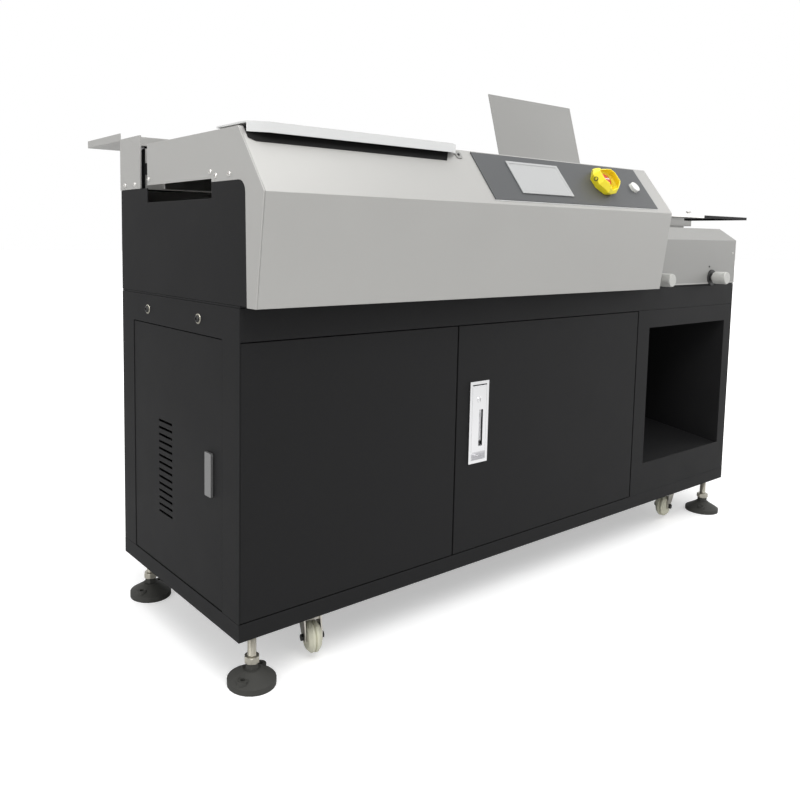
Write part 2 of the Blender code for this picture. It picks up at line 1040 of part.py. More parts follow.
def rear_cover():
    """The housing of the guides: back, top, front skirt, the left end bracket and the right end plate."""
    left_x = sheet + fit_gap
    right_x = cabinet_length - sheet
    section = [
        (wall_y, deck_seat_z),
        (cabinet_depth, deck_seat_z),
        (cabinet_depth, housing_top_z),
        (housing_front_y, housing_top_z),
        (housing_front_y, housing_top_z - housing_skirt),
        (housing_front_y + sheet, housing_top_z - housing_skirt),
        (housing_front_y + sheet, housing_top_z - sheet),
        (wall_y, housing_top_z - sheet),
    ]
    bracket = [
        (housing_front_y, bracket_bottom_z),
        (bracket_rear_y, bracket_bottom_z),
        (bracket_rear_y, bracket_top_z),
        (housing_front_y, bracket_top_z),
    ]
    right_plate = block(
        right_x - weld,
        cabinet_length,
        rear_jaw_back_y,
        cabinet_depth,
        deck_seat_z,
        housing_top_z,
    )
    solid(
        "rear_cover",
        silver,
        prism("X", section, left_x, right_x),
        ("join", [prism("X", bracket, 0, left_x + weld), right_plate]),
    )


def rear_tray():
    """The shelf behind the clamp, with lips on three sides and a tongue on the housing's top."""
    low_z = housing_top_z + fit_gap
    left_x = fit_gap
    right_x = left_x + tray_length
    front_y = bracket_rear_y + fit_gap
    solid(
        "rear_tray",
        silver,
        block(left_x, right_x, front_y, tray_back_y, low_z, low_z + tray_lip_height),
        (
            "cut",
            [
                block(
                    left_x + sheet,
                    right_x - sheet,
                    front_y - overrun,
                    tray_back_y - sheet,
                    low_z + sheet,
                    low_z + tray_lip_height + overrun,
                )
            ],
        ),
        (
            "join",
            [
                block(
                    left_x + 2 * sheet,
                    right_x - sheet,
                    front_y - tray_tongue,
                    front_y + weld,
                    low_z,
                    low_z + sheet,
                )
            ],
        ),
    )


def backrest():
    """The plate that leans back over the cover station, on a pin along its foot."""
    middle_x = rest_left_x + rest_width / 2
    pin_z = housing_top_z + rest_pin_rise
    frame = empty("rest_frame", (middle_x, rest_foot_y, pin_z), (-rest_lean, 0, 0), machine)
    half = rest_width / 2
    solid(
        "backrest",
        silver,
        block(-half, half, -rest_sheet / 2, rest_sheet / 2, 0, rest_height),
        ("join", [rod("X", (0, 0), rest_pin_radius, -half, half, small_sides)]),
        parent=frame,
    )


def controls():
    """The panel, touchscreen, stop button with its guard, and start button, all square to the slope."""
    slope = empty("slope_frame", (0, -hood_overhang, hood_bend_z), (slope_angle, 0, 0), machine)
    face = fit_gap + panel_thickness
    seat = face + fit_gap
    stop_hole = rod(
        "Z", (stop_x, stop_up), stop_stem_radius + running_gap, -hood_sheet - overrun, seat + overrun
    )
    start_hole = rod(
        "Z", (start_x, start_up), start_radius + running_gap, -hood_sheet - overrun, seat + overrun
    )
    solid(
        "control_panel",
        slate,
        block(panel_left_x, panel_right_x, panel_low, panel_high, fit_gap, face),
        ("cut", [stop_hole, start_hole]),
        parent=slope,
    )
    hood = bpy.data.objects["front_hood"]
    holes = mesh_of("control_holes", [stop_hole, start_hole], (0, 0, 0))
    helper = put("front_hood_cut_controls", holes, slope, (0, 0, 0), (0, 0, 0))
    helper.hide_render = True
    helper.display_type = "WIRE"
    change = hood.modifiers.new("control_holes", "BOOLEAN")
    change.operation = "DIFFERENCE"
    change.object = helper
    top = seat + screen_thickness
    solid(
        "touchscreen",
        pale,
        block(
            screen_left_x,
            screen_left_x + screen_width,
            screen_low,
            screen_low + screen_height,
            seat,
            top,
        ),
        (
            "cut",
            [
                block(
                    screen_left_x + screen_border,
                    screen_left_x + screen_width - screen_border,
                    screen_low + screen_border,
                    screen_low + screen_height - screen_border,
                    top - screen_recess,
                    top + overrun,
                )
            ],
        ),
        parent=slope,
    )
    stop_button(slope, seat)
    solid(
        "start_button",
        white,
        rod("Z", (start_x, start_up), start_radius, seat - start_depth, seat + start_proud),
        parent=slope,
        origin=(start_x, start_up, seat),
        smooth=True,
    )


def stop_button(slope, seat):
    place = (stop_x, stop_up)
    inner = stop_base_radius - stop_wing_wall
    cup = [
        (stop_base_radius, seat),
        (stop_base_radius, seat + stop_base_thickness),
        (stop_wing_radius, seat + stop_wing_height),
    ]
    hollow = [
        (inner, seat + stop_base_thickness),
        (stop_wing_radius - stop_wing_wall, seat + stop_wing_height),
        (stop_wing_radius, seat + stop_wing_height + overrun),
    ]
    gap = block(
        stop_x - stop_wing_gap / 2,
        stop_x + stop_wing_gap / 2,
        stop_up - stop_wing_radius - overrun,
        stop_up + stop_wing_radius + overrun,
        seat + stop_base_thickness,
        seat + stop_wing_height + overrun,
    )
    hole_z = seat + stop_wing_height / 2
    lock = rod(
        "X",
        (stop_up, hole_z),
        stop_lock_hole,
        stop_x - stop_wing_radius - overrun,
        stop_x + stop_wing_radius + overrun,
        small_sides,
    )
    stem = rod("Z", place, stop_stem_radius + running_gap, seat - overrun, seat + overrun)
    solid(
        "estop_guard",
        yellow,
        turned("Z", place, cup),
        ("cut", [turned("Z", place, hollow)]),
        ("cut", [gap]),
        ("cut", [lock]),
        ("cut", [stem]),
        parent=slope,
        smooth=True,
    )
    cap = [
        (stop_stem_radius, seat - start_depth),
        (stop_stem_radius, seat + stop_cap_low),
        (stop_cap_radius, seat + stop_cap_low),
        (stop_cap_radius, seat + (stop_cap_low + 2 * stop_cap_high) / 3),
        (stop_stem_radius, seat + stop_cap_high),
    ]
    solid(
        "estop_button",
        red,
        turned("Z", place, cap),
        parent=slope,
        origin=(stop_x, stop_up, seat),
        smooth=True,
    )


def nip_housing():
    """The silver box at the right end with the table's support on top and the two knobs' holes."""
    left_x = hood_end_x + fit_gap
    skin = sheet
    outer = [
        (0, deck_seat_z),
        (0, box_front_top_z),
        (box_chamfer_depth, box_top_z),
        (box_depth, box_top_z),
        (box_depth, box_top_z - skin),
        (box_chamfer_depth + skin / 2, box_top_z - skin),
        (skin, box_front_top_z - skin / 2),
        (skin, deck_seat_z),
    ]
    end = [
        (0, deck_seat_z),
        (0, box_front_top_z),
        (box_chamfer_depth, box_top_z),
        (box_depth, box_top_z),
        (box_depth, deck_seat_z),
    ]
    rail_z = box_top_z + support_step
    supports = [
        block(
            left_x,
            left_x + support_length,
            support_front_y,
            support_front_y + support_depth,
            rail_z,
            rail_z + support_height,
        ),
        block(
            left_x,
            left_x + support_length - support_setback,
            support_front_y + sheet,
            support_front_y + support_depth - sheet,
            box_top_z - weld,
            table_low_z - fit_gap,
        ),
    ]
    holes = [
        rod("Y", (x, knob_z), knob_shaft_radius + running_gap, -overrun, skin + overrun)
        for x in (knob_left_x, knob_right_x)
    ]
    solid(
        "nip_housing",
        silver,
        prism("X", outer, left_x, box_right_x),
        ("join", [prism("X", end, box_right_x - skin, box_right_x)]),
        ("join", [supports[1]]),
        ("join", [supports[0]]),
        ("cut", holes),
    )
    for name, x in (("left_knob", knob_left_x), ("right_knob", knob_right_x)):
        profile = [
            (knob_radius, -knob_standoff - knob_length),
            (knob_radius, -knob_standoff),
            (knob_shaft_radius, -knob_standoff),
            (knob_shaft_radius, knob_shaft_depth),
        ]
        solid(
            name,
            steel,
            turned("Y", (x, knob_z), profile),
            origin=(x, 0, knob_z),
            smooth=True,
        )


def cover_table():
    """The table that the cover lies on, with its rear ears for the drop flap and the guide bar on its front."""
    left_x = hood_end_x + fit_gap
    hollow = block(
        left_x + sheet,
        table_tip_x - sheet,
        table_front_y + sheet,
        table_rear_y - sheet,
        table_low_z - overrun,
        table_top_z - sheet,
    )
    pin_y = flap_front_y + flap_pin_back
    pin_z = table_top_z - flap_pin_drop
    ear_low = pin_z - 2 * flap_pin_radius
    ear_y = pin_y + 2 * flap_pin_radius
    flap_left = nip_left_x + flap_inset
    flap_right = nip_right_x - flap_inset
    flap_top_z = table_top_z - flap_drop
    ears = []
    for x in (flap_left - fit_gap - flap_ear_width, flap_right + fit_gap):
        ears.append(
            block(x, x + flap_ear_width, table_rear_y - sheet + fit_gap, ear_y, ear_low, table_low_z + sheet)
        )
    pin_hole = rod(
        "X",
        (pin_y, pin_z),
        flap_pin_radius + running_gap,
        flap_left - flap_ear_reach,
        flap_right + flap_ear_reach,
        small_sides,
    )
    solid(
        "cover_table",
        black,
        block(left_x, table_tip_x, table_front_y, table_rear_y, table_low_z, table_top_z),
        ("cut", [hollow]),
        ("join", ears),
        ("cut", [pin_hole]),
    )
    reach = flap_ear_width + fit_gap
    lug = block(
        flap_left,
        flap_right,
        pin_y - flap_pin_radius,
        pin_y + flap_pin_radius,
        pin_z,
        flap_top_z - flap_thickness + weld,
    )
    solid(
        "drop_flap",
        aluminium,
        block(
            flap_left,
            flap_right,
            flap_front_y,
            flap_rear_y,
            flap_top_z - flap_thickness,
            flap_top_z,
        ),
        ("join", [lug]),
        (
            "join",
            [rod("X", (pin_y, pin_z), flap_pin_radius, flap_left - reach, flap_right + reach, small_sides)],
        ),
        origin=(flap_left, pin_y, pin_z),
    )
    low_z = table_seat_z
    high_z = low_z + bar_thickness
    screw = (bar_screw_x, table_front_y + bar_width / 2)
    lip = block(
        bar_left_x,
        nip_right_x,
        table_front_y - fit_gap - bar_thickness,
        table_front_y - fit_gap,
        table_low_z,
        high_z,
    )
    profile = [
        (bar_screw_neck, high_z - weld),
        (bar_screw_neck, high_z + bar_screw_height / 2),
        (bar_screw_radius, high_z + bar_screw_height / 2),
        (bar_screw_radius, high_z + bar_screw_height),
    ]
    solid(
        "table_guide_bar",
        steel,
        block(
            bar_left_x,
            nip_right_x,
            table_front_y - fit_gap - weld,
            table_front_y + bar_width,
            low_z,
            high_z,
        ),
        ("join", [lip]),
        ("join", [turned("Z", screw, profile, small_sides)]),
    )


def nipping_jaws():
    low_z = table_seat_z
    high_z = low_z + nip_bar_thickness
    front = nip_gap_front_y
    rear = nip_gap_rear_y
    solid(
        "front_nip_jaw",
        steel,
        block(nip_left_x, nip_right_x, front - nip_bar_depth, front, low_z, high_z),
    )
    solid(
        "rear_nip_jaw",
        steel,
        block(nip_left_x, nip_right_x, rear, rear + nip_bar_depth, low_z, high_z),
    )


def guides():
    """Two rods and the drive screw between two end plates, and the motor on the left plate."""
    left_low = end_plate_inset
    left_high = left_low + end_plate_thickness
    right_high = cabinet_length - end_plate_inset
    right_low = right_high - end_plate_thickness
    round_parts = (
        ("upper_guide_rod", upper_guide_z, guide_radius),
        ("lower_guide_rod", lower_guide_z, guide_radius),
        ("carriage_screw", screw_z, screw_radius),
    )
    for name, low, high in (
        ("left_end_plate", left_low, left_high),
        ("right_end_plate", right_low, right_high),
    ):
        holes = [
            rod("X", (guide_y, z), radius + running_gap, low - overrun, high + overrun)
            for _, z, radius in round_parts
        ]
        solid(
            name,
            aluminium,
            block(low, high, end_plate_front_y, end_plate_rear_y, deck_seat_z, end_plate_top_z),
            ("cut", holes),
        )
    for name, z, radius in round_parts:
        solid(
            name,
            steel,
            rod("X", (guide_y, z), radius, left_low + weld, right_high - weld),
            origin=(left_low, guide_y, z),
            smooth=True,
        )
    profile = [
        (motor_radius, left_high + fit_gap),
        (motor_radius, left_high + motor_length),
    ]
    solid("drive_motor", black, turned("X", (guide_y, motor_z), profile), smooth=True)


def carriage():
    """The clamp carriage: rear jaw, sliders on the guides, end links and the front beam of the moving jaw."""
    left = carriage_left_x
    right = left + carriage_length
    rear_jaw = block(left, right, rear_jaw_face_y, rear_jaw_back_y, jaw_low_z, rear_jaw_top_z)
    sliders = []
    for x in (left + slider_inset, right - slider_inset - slider_length):
        sliders.append(
            block(
                x,
                x + slider_length,
                rear_jaw_back_y - weld,
                slider_rear_y,
                slider_low_z,
                slider_high_z,
            )
        )
    links = [
        block(x, x + link_width, beam_rear_y - weld, rear_jaw_face_y + weld, link_low_z, link_high_z)
        for x in (left, right - link_width)
    ]
    beam = block(left, right, beam_front_y, beam_rear_y, beam_low_z, beam_high_z)
    bores = [
        rod("X", (guide_y, z), radius + running_gap, left - overrun, right + overrun)
        for z, radius in (
            (upper_guide_z, guide_radius),
            (lower_guide_z, guide_radius),
            (screw_z, screw_radius),
        )
    ]
    rod_xs = (left + jaw_rod_inset, right - jaw_rod_inset)
    rod_holes = [
        rod(
            "Y",
            (x, jaw_rod_z),
            jaw_rod_radius + running_gap,
            beam_front_y - overrun,
            beam_rear_y + overrun,
        )
        for x in rod_xs
    ]
    solid(
        "clamp_carriage",
        black,
        rear_jaw,
        ("join", sliders),
        ("join", links),
        ("join", [beam]),
        ("cut", bores + rod_holes),
    )
    jaw_front_y = front_jaw_rear_y - front_jaw_thickness
    jaw_rods = [
        rod("Y", (x, jaw_rod_z), jaw_rod_radius, jaw_rod_front_y, jaw_front_y + weld) for x in rod_xs
    ]
    solid(
        "front_clamp_jaw",
        steel,
        block(
            left + front_jaw_inset,
            right - front_jaw_inset,
            jaw_front_y,
            front_jaw_rear_y,
            jaw_low_z,
            jaw_high_z,
        ),
        ("join", jaw_rods),
    )
    clamp_cover_and_lid()


def knuckle_spans():
    """Where the lid's two knuckles lie along X."""
    first = lid_left_x + lid_knuckle_inset
    last = lid_left_x + lid_length - lid_knuckle_inset - lid_knuckle_length
    return [(first, first + lid_knuckle_length), (last, last + lid_knuckle_length)]


def clamp_cover_and_lid():
    low_z = beam_high_z + fit_gap
    high_z = low_z + clamp_cover_thickness
    left = lid_left_x
    right = lid_left_x + lid_length
    ears = []
    pins = []
    ear = [
        (lid_pin_y - lid_ear_reach, low_z),
        (clamp_cover_front_y + weld, low_z),
        (clamp_cover_front_y + weld, high_z),
        (lid_pin_y + lid_ear_reach, high_z),
        (lid_pin_y + lid_ear_reach, lid_pin_z + lid_ear_reach),
        (lid_pin_y - lid_ear_reach, lid_pin_z + lid_ear_reach),
    ]
    for start, end in knuckle_spans():
        for x in (start - fit_gap - lid_ear_width, end + fit_gap):
            ears.append(prism("X", ear, x, x + lid_ear_width))
        pins.append(
            rod(
                "X",
                (lid_pin_y, lid_pin_z),
                lid_pin_radius,
                start - lid_ear_width,
                end + lid_ear_width,
                small_sides,
            )
        )
    solid(
        "clamp_cover",
        silver,
        block(left, right, clamp_cover_front_y, clamp_cover_rear_y, low_z, high_z),
        ("join", ears + pins),
    )
    outline = [
        (left + lid_left_chamfer_x, lid_front_y),
        (right - lid_right_chamfer_x, lid_front_y),
        (right, lid_front_y + lid_chamfer_y),
        (right, lid_rear_y),
        (left, lid_rear_y),
        (left, lid_front_y + lid_chamfer_y),
    ]
    inner_corners = []
    for chamfer_x in (lid_left_chamfer_x, lid_right_chamfer_x):
        chamfer = math.hypot(chamfer_x, lid_chamfer_y)
        near = chamfer_x + lid_sheet * (chamfer - chamfer_x) / lid_chamfer_y
        far = lid_sheet * chamfer / lid_chamfer_y
        inner_corners.append((near, far))
    (left_near, left_far), (right_near, right_far) = inner_corners
    skirt_end_y = lid_front_y + lid_chamfer_y
    hollow = [
        (left + left_near, lid_front_y + lid_sheet),
        (right - right_near, lid_front_y + lid_sheet),
        (right - right_far, skirt_end_y),
        (right + overrun, skirt_end_y),
        (right + overrun, lid_rear_y + overrun),
        (left - overrun, lid_rear_y + overrun),
        (left - overrun, skirt_end_y),
        (left + left_far, skirt_end_y),
    ]
    arms = []
    knuckles = []
    bores = []
    arm_high_z = lid_top_z - lid_sheet + weld
    for start, end in knuckle_spans():
        arms.append(
            block(start, end, lid_rear_y - 2 * lid_sheet, lid_pin_y + weld, lid_pin_z + weld, arm_high_z)
        )
        knuckles.append(rod("X", (lid_pin_y, lid_pin_z), lid_knuckle_radius, start, end, small_sides))
        bores.append(
            rod(
                "X",
                (lid_pin_y, lid_pin_z),
                lid_pin_radius + running_gap,
                start - weld,
                end + weld,
                small_sides,
            )
        )
    solid(
        "lid",
        pale,
        prism("Z", outline, lid_bottom_z, lid_top_z),
        ("cut", [prism("Z", hollow, lid_bottom_z - overrun, lid_top_z - lid_sheet)]),
        ("join", arms),
        ("join", knuckles),
        ("cut", bores),
        origin=(left, lid_pin_y, lid_pin_z),
    )


def cutter():
    """The toothed cutter under the clamp's path, on its motor."""
    place = (cutter_x, work_line_y)
    outline = []
    for i in range(cutter_teeth):
        start = 2 * math.pi * i / cutter_teeth
        middle = start + math.pi / cutter_teeth
        root = cutter_radius - cutter_tooth_depth
        outline.append((place[0] + root * math.cos(start), place[1] + root * math.sin(start)))
        outline.append(
            (place[0] + cutter_radius * math.cos(middle), place[1] + cutter_radius * math.sin(middle))
        )
    disc_low = cutter_top_z - cutter_thickness
    motor_top = deck_seat_z + cutter_motor_height
    seat_z = motor_top - spindle_seat
    solid(
        "cutter_disc",
        steel,
        prism("Z", outline, disc_low, cutter_top_z),
        ("join", [rod("Z", place, spindle_radius, seat_z + fit_gap, disc_low + weld)]),
        origin=(*place, cutter_top_z),
    )
    solid(
        "cutter_motor",
        black,
        rod("Z", place, cutter_motor_radius, deck_seat_z, motor_top),
        ("cut", [rod("Z", place, spindle_radius + running_gap, seat_z, motor_top + overrun)]),
        smooth=True,
    )


def glue_station():
    """The heated tank on its legs, with two rollers whose shafts run in its end walls."""
    right = tank_left_x + tank_length
    rear = tank_front_y + tank_depth
    roller_z = roller_top_z - roller_radius
    middle_x = tank_left_x + tank_length / 2
    xs = (middle_x - roller_spacing / 2, middle_x + roller_spacing / 2)
    hollow = block(
        tank_left_x + tank_wall,
        right - tank_wall,
        tank_front_y + tank_wall,
        rear - tank_wall,
        tank_low_z + tank_wall,
        tank_top_z + overrun,
    )
    legs = [
        block(x, x + tank_leg, tank_front_y + tank_wall, rear - tank_wall, deck_seat_z, tank_low_z + weld)
        for x in (tank_left_x + tank_leg, right - 2 * tank_leg)
    ]
    holes = [
        rod(
            "Y",
            (x, roller_z),
            roller_shaft_radius + running_gap,
            tank_front_y - overrun,
            rear + overrun,
        )
        for x in xs
    ]
    solid(
        "glue_tank",
        aluminium,
        block(tank_left_x, right, tank_front_y, rear, tank_low_z, tank_top_z),
        ("cut", [hollow]),
        ("join", legs),
        ("cut", holes),
    )
    front = tank_front_y + tank_wall + roller_end_gap
    back = rear - tank_wall - roller_end_gap
    profile = [
        (roller_shaft_radius, tank_front_y - roller_shaft_reach),
        (roller_shaft_radius, front),
        (roller_radius, front),
        (roller_radius, back),
        (roller_shaft_radius, back),
        (roller_shaft_radius, rear + roller_shaft_reach),
    ]
    for name, x in (("first_glue_roller", xs[0]), ("second_glue_roller", xs[1])):
        solid(
            name,
            steel,
            turned("Y", (x, roller_z), profile),
            origin=(x, tank_front_y, roller_z),
            smooth=True,
        )


def electrical_box():
    right = electric_left_x + electric_length
    rear = wall_y - fit_gap
    front = rear - electric_depth
    low = pan_floor + fit_gap
    solid(
        "electrical_box",
        grey,
        block(electric_left_x, right, front, rear, low, low + electric_height),
        (
            "cut",
            [
                block(
                    electric_left_x + sheet,
                    right - sheet,
                    front + sheet,
                    rear + overrun,
                    low + sheet,
                    low + electric_height - sheet,
                )
            ],
        ),
    )


def foot(name, place):
    """A levelling foot: a round pad with two fixing ears, a stud and its nut, turning in the pan's boss."""
    floor = -ground_clearance
    rim = floor + foot_rim_height
    cone = floor + foot_cone_height
    nut_top = cone + foot_nut_height
    ears = []
    holes = []
    for side in (-1, 1):
        angle = foot_turn + (math.pi if side < 0 else 0)
        centre = (
            place[0] + foot_ear_offset * math.cos(angle),
            place[1] + foot_ear_offset * math.sin(angle),
        )
        ears.append(rod("Z", centre, foot_ear_radius, floor + weld, rim + foot_ear_radius, ear_sides))
        holes.append(rod("Z", centre, foot_ear_hole, floor - overrun, rim + 2 * foot_ear_radius, ear_sides))
    profile = [
        (foot_pad_radius, floor),
        (foot_pad_radius, rim),
        (foot_neck_radius, cone - weld),
        (foot_neck_radius, cone),
    ]
    solid(
        name,
        rubber,
        turned("Z", place, profile),
        ("join", ears),
        ("cut", holes),
        ("join", [rod("Z", place, foot_stud_radius, cone - weld, boss_height)]),
        ("join", [rod("Z", place, foot_nut_radius, cone - weld, nut_top, nut_sides)]),
        origin=(*place, 0),
        smooth=True,
    )


def castor(name, place, heading):
    """A swivel castor: head and fork turning on a pin in the pan, and a grooved wheel on the fork's axle."""
    top = -castor_plate_thickness - fit_gap
    head_low = top - castor_head_height
    inner = castor_wheel_width / 2 + castor_leg_gap
    outer = inner + castor_leg
    swivel = empty(name + "_swivel", (*place, 0), (0, 0, heading), machine)
    bridge_low = -castor_drop + castor_wheel_radius + castor_leg_gap
    leg = [
        (castor_leg_reach, head_low + weld),
        (-castor_trail, head_low + weld),
        (-castor_trail - castor_leg_reach, -castor_drop + castor_leg_reach),
        (-castor_trail - castor_leg_reach, -castor_drop - castor_leg_reach / 2),
        (-castor_trail + castor_leg_reach / 2, -castor_drop - castor_leg_reach / 2),
        (castor_leg_reach, bridge_low),
    ]
    legs = [prism("X", leg, low, high) for low, high in ((-outer, -inner), (inner, outer))]
    bridge = block(-outer, outer, -castor_trail, castor_leg_reach, bridge_low, head_low + weld)
    axle = rod("X", (-castor_trail, -castor_drop), castor_axle_radius, -outer, outer, small_sides)
    solid(
        name + "_fork",
        zinc,
        rod("Z", (0, 0), castor_head_radius, head_low, top),
        ("join", [bridge]),
        ("join", legs),
        ("join", [axle]),
        ("join", [rod("Z", (0, 0), castor_pin_radius, top - weld, pan_floor, small_sides)]),
        parent=swivel,
    )
    half = castor_wheel_width / 2
    groove = castor_wheel_radius - castor_groove
    profile = [
        (castor_wheel_radius - 2 * castor_groove, -half),
        (castor_wheel_radius, -half + 2 * castor_groove),
        (castor_wheel_radius, -castor_groove / 2),
        (groove, 0),
        (castor_wheel_radius, castor_groove / 2),
        (castor_wheel_radius, half - 2 * castor_groove),
        (castor_wheel_radius - 2 * castor_groove, half),
    ]
    bore = rod(
        "X",
        (-castor_trail, -castor_drop),
        castor_axle_radius + running_gap,
        -half - overrun,
        half + overrun,
        small_sides,
    )
    solid(
        name + "_wheel",
        cream,
        turned("X", (-castor_trail, -castor_drop), profile),
        ("cut", [bore]),
        parent=swivel,
        origin=(0, -castor_trail, -castor_drop),
        smooth=True,
    )


for old in list(bpy.data.objects):
    bpy.data.objects.remove(old)

machine = empty(
    "machine",
    ((lever_proud - table_tip_x) / 2, (hood_overhang - tray_back_y) / 2, ground_clearance),
)

base_pan()
cabinet_frame()
deck_plate()
side_panels()
rear_panel()
front_doors()
door_latch()
book_bin()
left_end()
front_hood()
rear_cover()
rear_tray()
backrest()
controls()
nip_housing()
cover_table()
nipping_jaws()
guides()
carriage()
cutter()
glue_station()
electrical_box()

corner_names = ("front_left", "front_right", "rear_left", "rear_right")
for corner, spot in zip(corner_names, corners_of(foot_inset_x, foot_inset_y)):
    foot(corner + "_foot", spot)
for corner, spot, heading in zip(
    corner_names, corners_of(castor_inset_x, castor_inset_y), castor_headings
):
    castor(corner + "_castor", spot, heading)
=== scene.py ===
"""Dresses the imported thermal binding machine: finishes, rounded edges and fittings that the solids leave out.

Metres, in the row frame. Places are written from the cabinet's front left bottom corner, as in the part:
X along the front from the left end, Y to the back, Z up.
"""

import json
import math

import bmesh
import bpy
from mathutils import Matrix, Vector


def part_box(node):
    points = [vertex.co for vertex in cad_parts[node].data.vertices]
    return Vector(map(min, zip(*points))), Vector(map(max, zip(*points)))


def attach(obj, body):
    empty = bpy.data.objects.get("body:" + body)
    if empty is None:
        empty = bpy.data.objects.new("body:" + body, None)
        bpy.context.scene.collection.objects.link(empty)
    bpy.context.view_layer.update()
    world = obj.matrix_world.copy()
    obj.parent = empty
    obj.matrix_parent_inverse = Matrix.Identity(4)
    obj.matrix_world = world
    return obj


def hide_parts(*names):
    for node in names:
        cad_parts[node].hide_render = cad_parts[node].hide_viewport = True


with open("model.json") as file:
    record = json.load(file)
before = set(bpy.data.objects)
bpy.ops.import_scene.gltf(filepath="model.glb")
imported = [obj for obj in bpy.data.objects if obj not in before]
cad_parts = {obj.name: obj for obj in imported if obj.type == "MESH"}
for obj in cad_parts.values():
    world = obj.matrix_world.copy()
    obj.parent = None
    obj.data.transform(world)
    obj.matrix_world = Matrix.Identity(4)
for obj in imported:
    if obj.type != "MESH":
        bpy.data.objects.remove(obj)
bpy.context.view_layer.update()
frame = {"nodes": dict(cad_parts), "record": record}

plinth_height = 0.027
bend_height = 0.644
hood_top_y = 0.006
hood_top_z = 0.735
weld = 0.00002

pan_low, pan_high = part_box("base_pan")
hood_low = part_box("front_hood")[0]
corner = Vector((pan_low.x, pan_low.y, pan_high.z - plinth_height))
cabinet_length = pan_high.x - pan_low.x
cabinet_depth = pan_high.y - pan_low.y
hood_overhang = corner.y - hood_low.y
slope_angle = math.atan2(hood_top_z - bend_height, hood_top_y + hood_overhang)


def at(x, y, z):
    return corner + Vector((x, y, z))


def frame_of(place, x_axis, z_axis):
    """A matrix at a place, with its X and Z along the two directions given."""
    z = Vector(z_axis).normalized()
    x = Vector(x_axis)
    x = (x - z * x.dot(z)).normalized()
    y = z.cross(x)
    turned = Matrix((x, y, z)).transposed().to_4x4()
    return Matrix.Translation(place) @ turned


def raised(height):
    return Matrix.Translation((0, 0, height))


slope = Matrix.Translation(at(0, -hood_overhang, bend_height)) @ Matrix.Rotation(slope_angle, 4, "X")


# Materials


def add(tree, kind, **inputs):
    """A node with its named inputs set."""
    node = tree.nodes.new(kind)
    for name, value in inputs.items():
        node.inputs[name.replace("_", " ")].default_value = value
    return node


def surface(
    name,
    colour,
    roughness,
    metallic=0.0,
    mottle=0.06,
    mottle_scale=9.0,
    grain=0.05,
    grain_scale=900.0,
    bump=0.25,
    bump_depth=0.0002,
    spread=0.08,
    stretch=(1.0, 1.0, 1.0),
    specular=0.45,
    coat=0.0,
):
    """A painted, plated or moulded surface: broad mottling, and a fine grain that also gives its relief."""
    made = bpy.data.materials.new(name)
    made.use_nodes = True
    tree = made.node_tree
    shader = tree.nodes["Principled BSDF"]
    shader.inputs["Metallic"].default_value = metallic
    shader.inputs["Specular IOR Level"].default_value = specular
    shader.inputs["Coat Weight"].default_value = coat
    shader.inputs["Coat Roughness"].default_value = 0.1
    place = tree.nodes.new("ShaderNodeTexCoord")
    mapping = add(tree, "ShaderNodeMapping", Scale=stretch)
    tree.links.new(place.outputs["Object"], mapping.inputs["Vector"])
    broad = add(tree, "ShaderNodeTexNoise", Scale=mottle_scale, Detail=4.0, Roughness=0.6)
    fine = add(tree, "ShaderNodeTexNoise", Scale=grain_scale, Detail=2.0, Roughness=0.5)
    tree.links.new(mapping.outputs["Vector"], broad.inputs["Vector"])
    tree.links.new(mapping.outputs["Vector"], fine.inputs["Vector"])
    broad_range = add(tree, "ShaderNodeMapRange", To_Min=1 - mottle, To_Max=1 + mottle)
    fine_range = add(tree, "ShaderNodeMapRange", To_Min=1 - grain, To_Max=1 + grain)
    tree.links.new(broad.outputs["Fac"], broad_range.inputs["Value"])
    tree.links.new(fine.outputs["Fac"], fine_range.inputs["Value"])
    both = tree.nodes.new("ShaderNodeMath")
    both.operation = "MULTIPLY"
    tree.links.new(broad_range.outputs["Result"], both.inputs[0])
    tree.links.new(fine_range.outputs["Result"], both.inputs[1])
    tint = tree.nodes.new("ShaderNodeVectorMath")
    tint.operation = "SCALE"
    tint.inputs[0].default_value = colour
    tree.links.new(both.outputs["Value"], tint.inputs["Scale"])
    tree.links.new(tint.outputs["Vector"], shader.inputs["Base Color"])
    rough = add(
        tree, "ShaderNodeMapRange", To_Min=max(roughness - spread, 0.02), To_Max=min(roughness + spread, 1)
    )
    tree.links.new(broad.outputs["Fac"], rough.inputs["Value"])
    tree.links.new(rough.outputs["Result"], shader.inputs["Roughness"])
    relief = add(tree, "ShaderNodeBump", Strength=bump, Distance=bump_depth)
    tree.links.new(fine.outputs["Fac"], relief.inputs["Height"])
    tree.links.new(relief.outputs["Normal"], shader.inputs["Normal"])
    return made


black = surface("black_powder_coat", (0.0115, 0.0115, 0.012), 0.60, mottle=0.12, grain=0.35, specular=0.13)
silver = surface("silver_paint", (0.40, 0.396, 0.382), 0.45, metallic=0.25, mottle=0.02, grain=0.05,
                 grain_scale=1400.0, bump=0.15)
dim_silver = surface("dull_silver_paint", (0.28, 0.278, 0.268), 0.50, metallic=0.2, mottle=0.03, grain=0.06,
                     grain_scale=1400.0, bump=0.15)
pale = surface("pale_paint", (0.66, 0.665, 0.66), 0.42, mottle=0.015, grain=0.02, bump=0.08)
slate = surface("slate_panel", (0.070, 0.073, 0.076), 0.45, mottle=0.05, grain=0.10, specular=0.35)
steel = surface("ground_steel", (0.60, 0.59, 0.57), 0.28, metallic=1.0, mottle=0.04, grain=0.06,
                grain_scale=700.0, stretch=(0.05, 1.0, 1.0), bump=0.12, bump_depth=0.0001)
zinc = surface("zinc_plate", (0.52, 0.50, 0.45), 0.36, metallic=1.0, mottle=0.12, mottle_scale=60.0,
               grain=0.06, bump=0.10, bump_depth=0.0001)
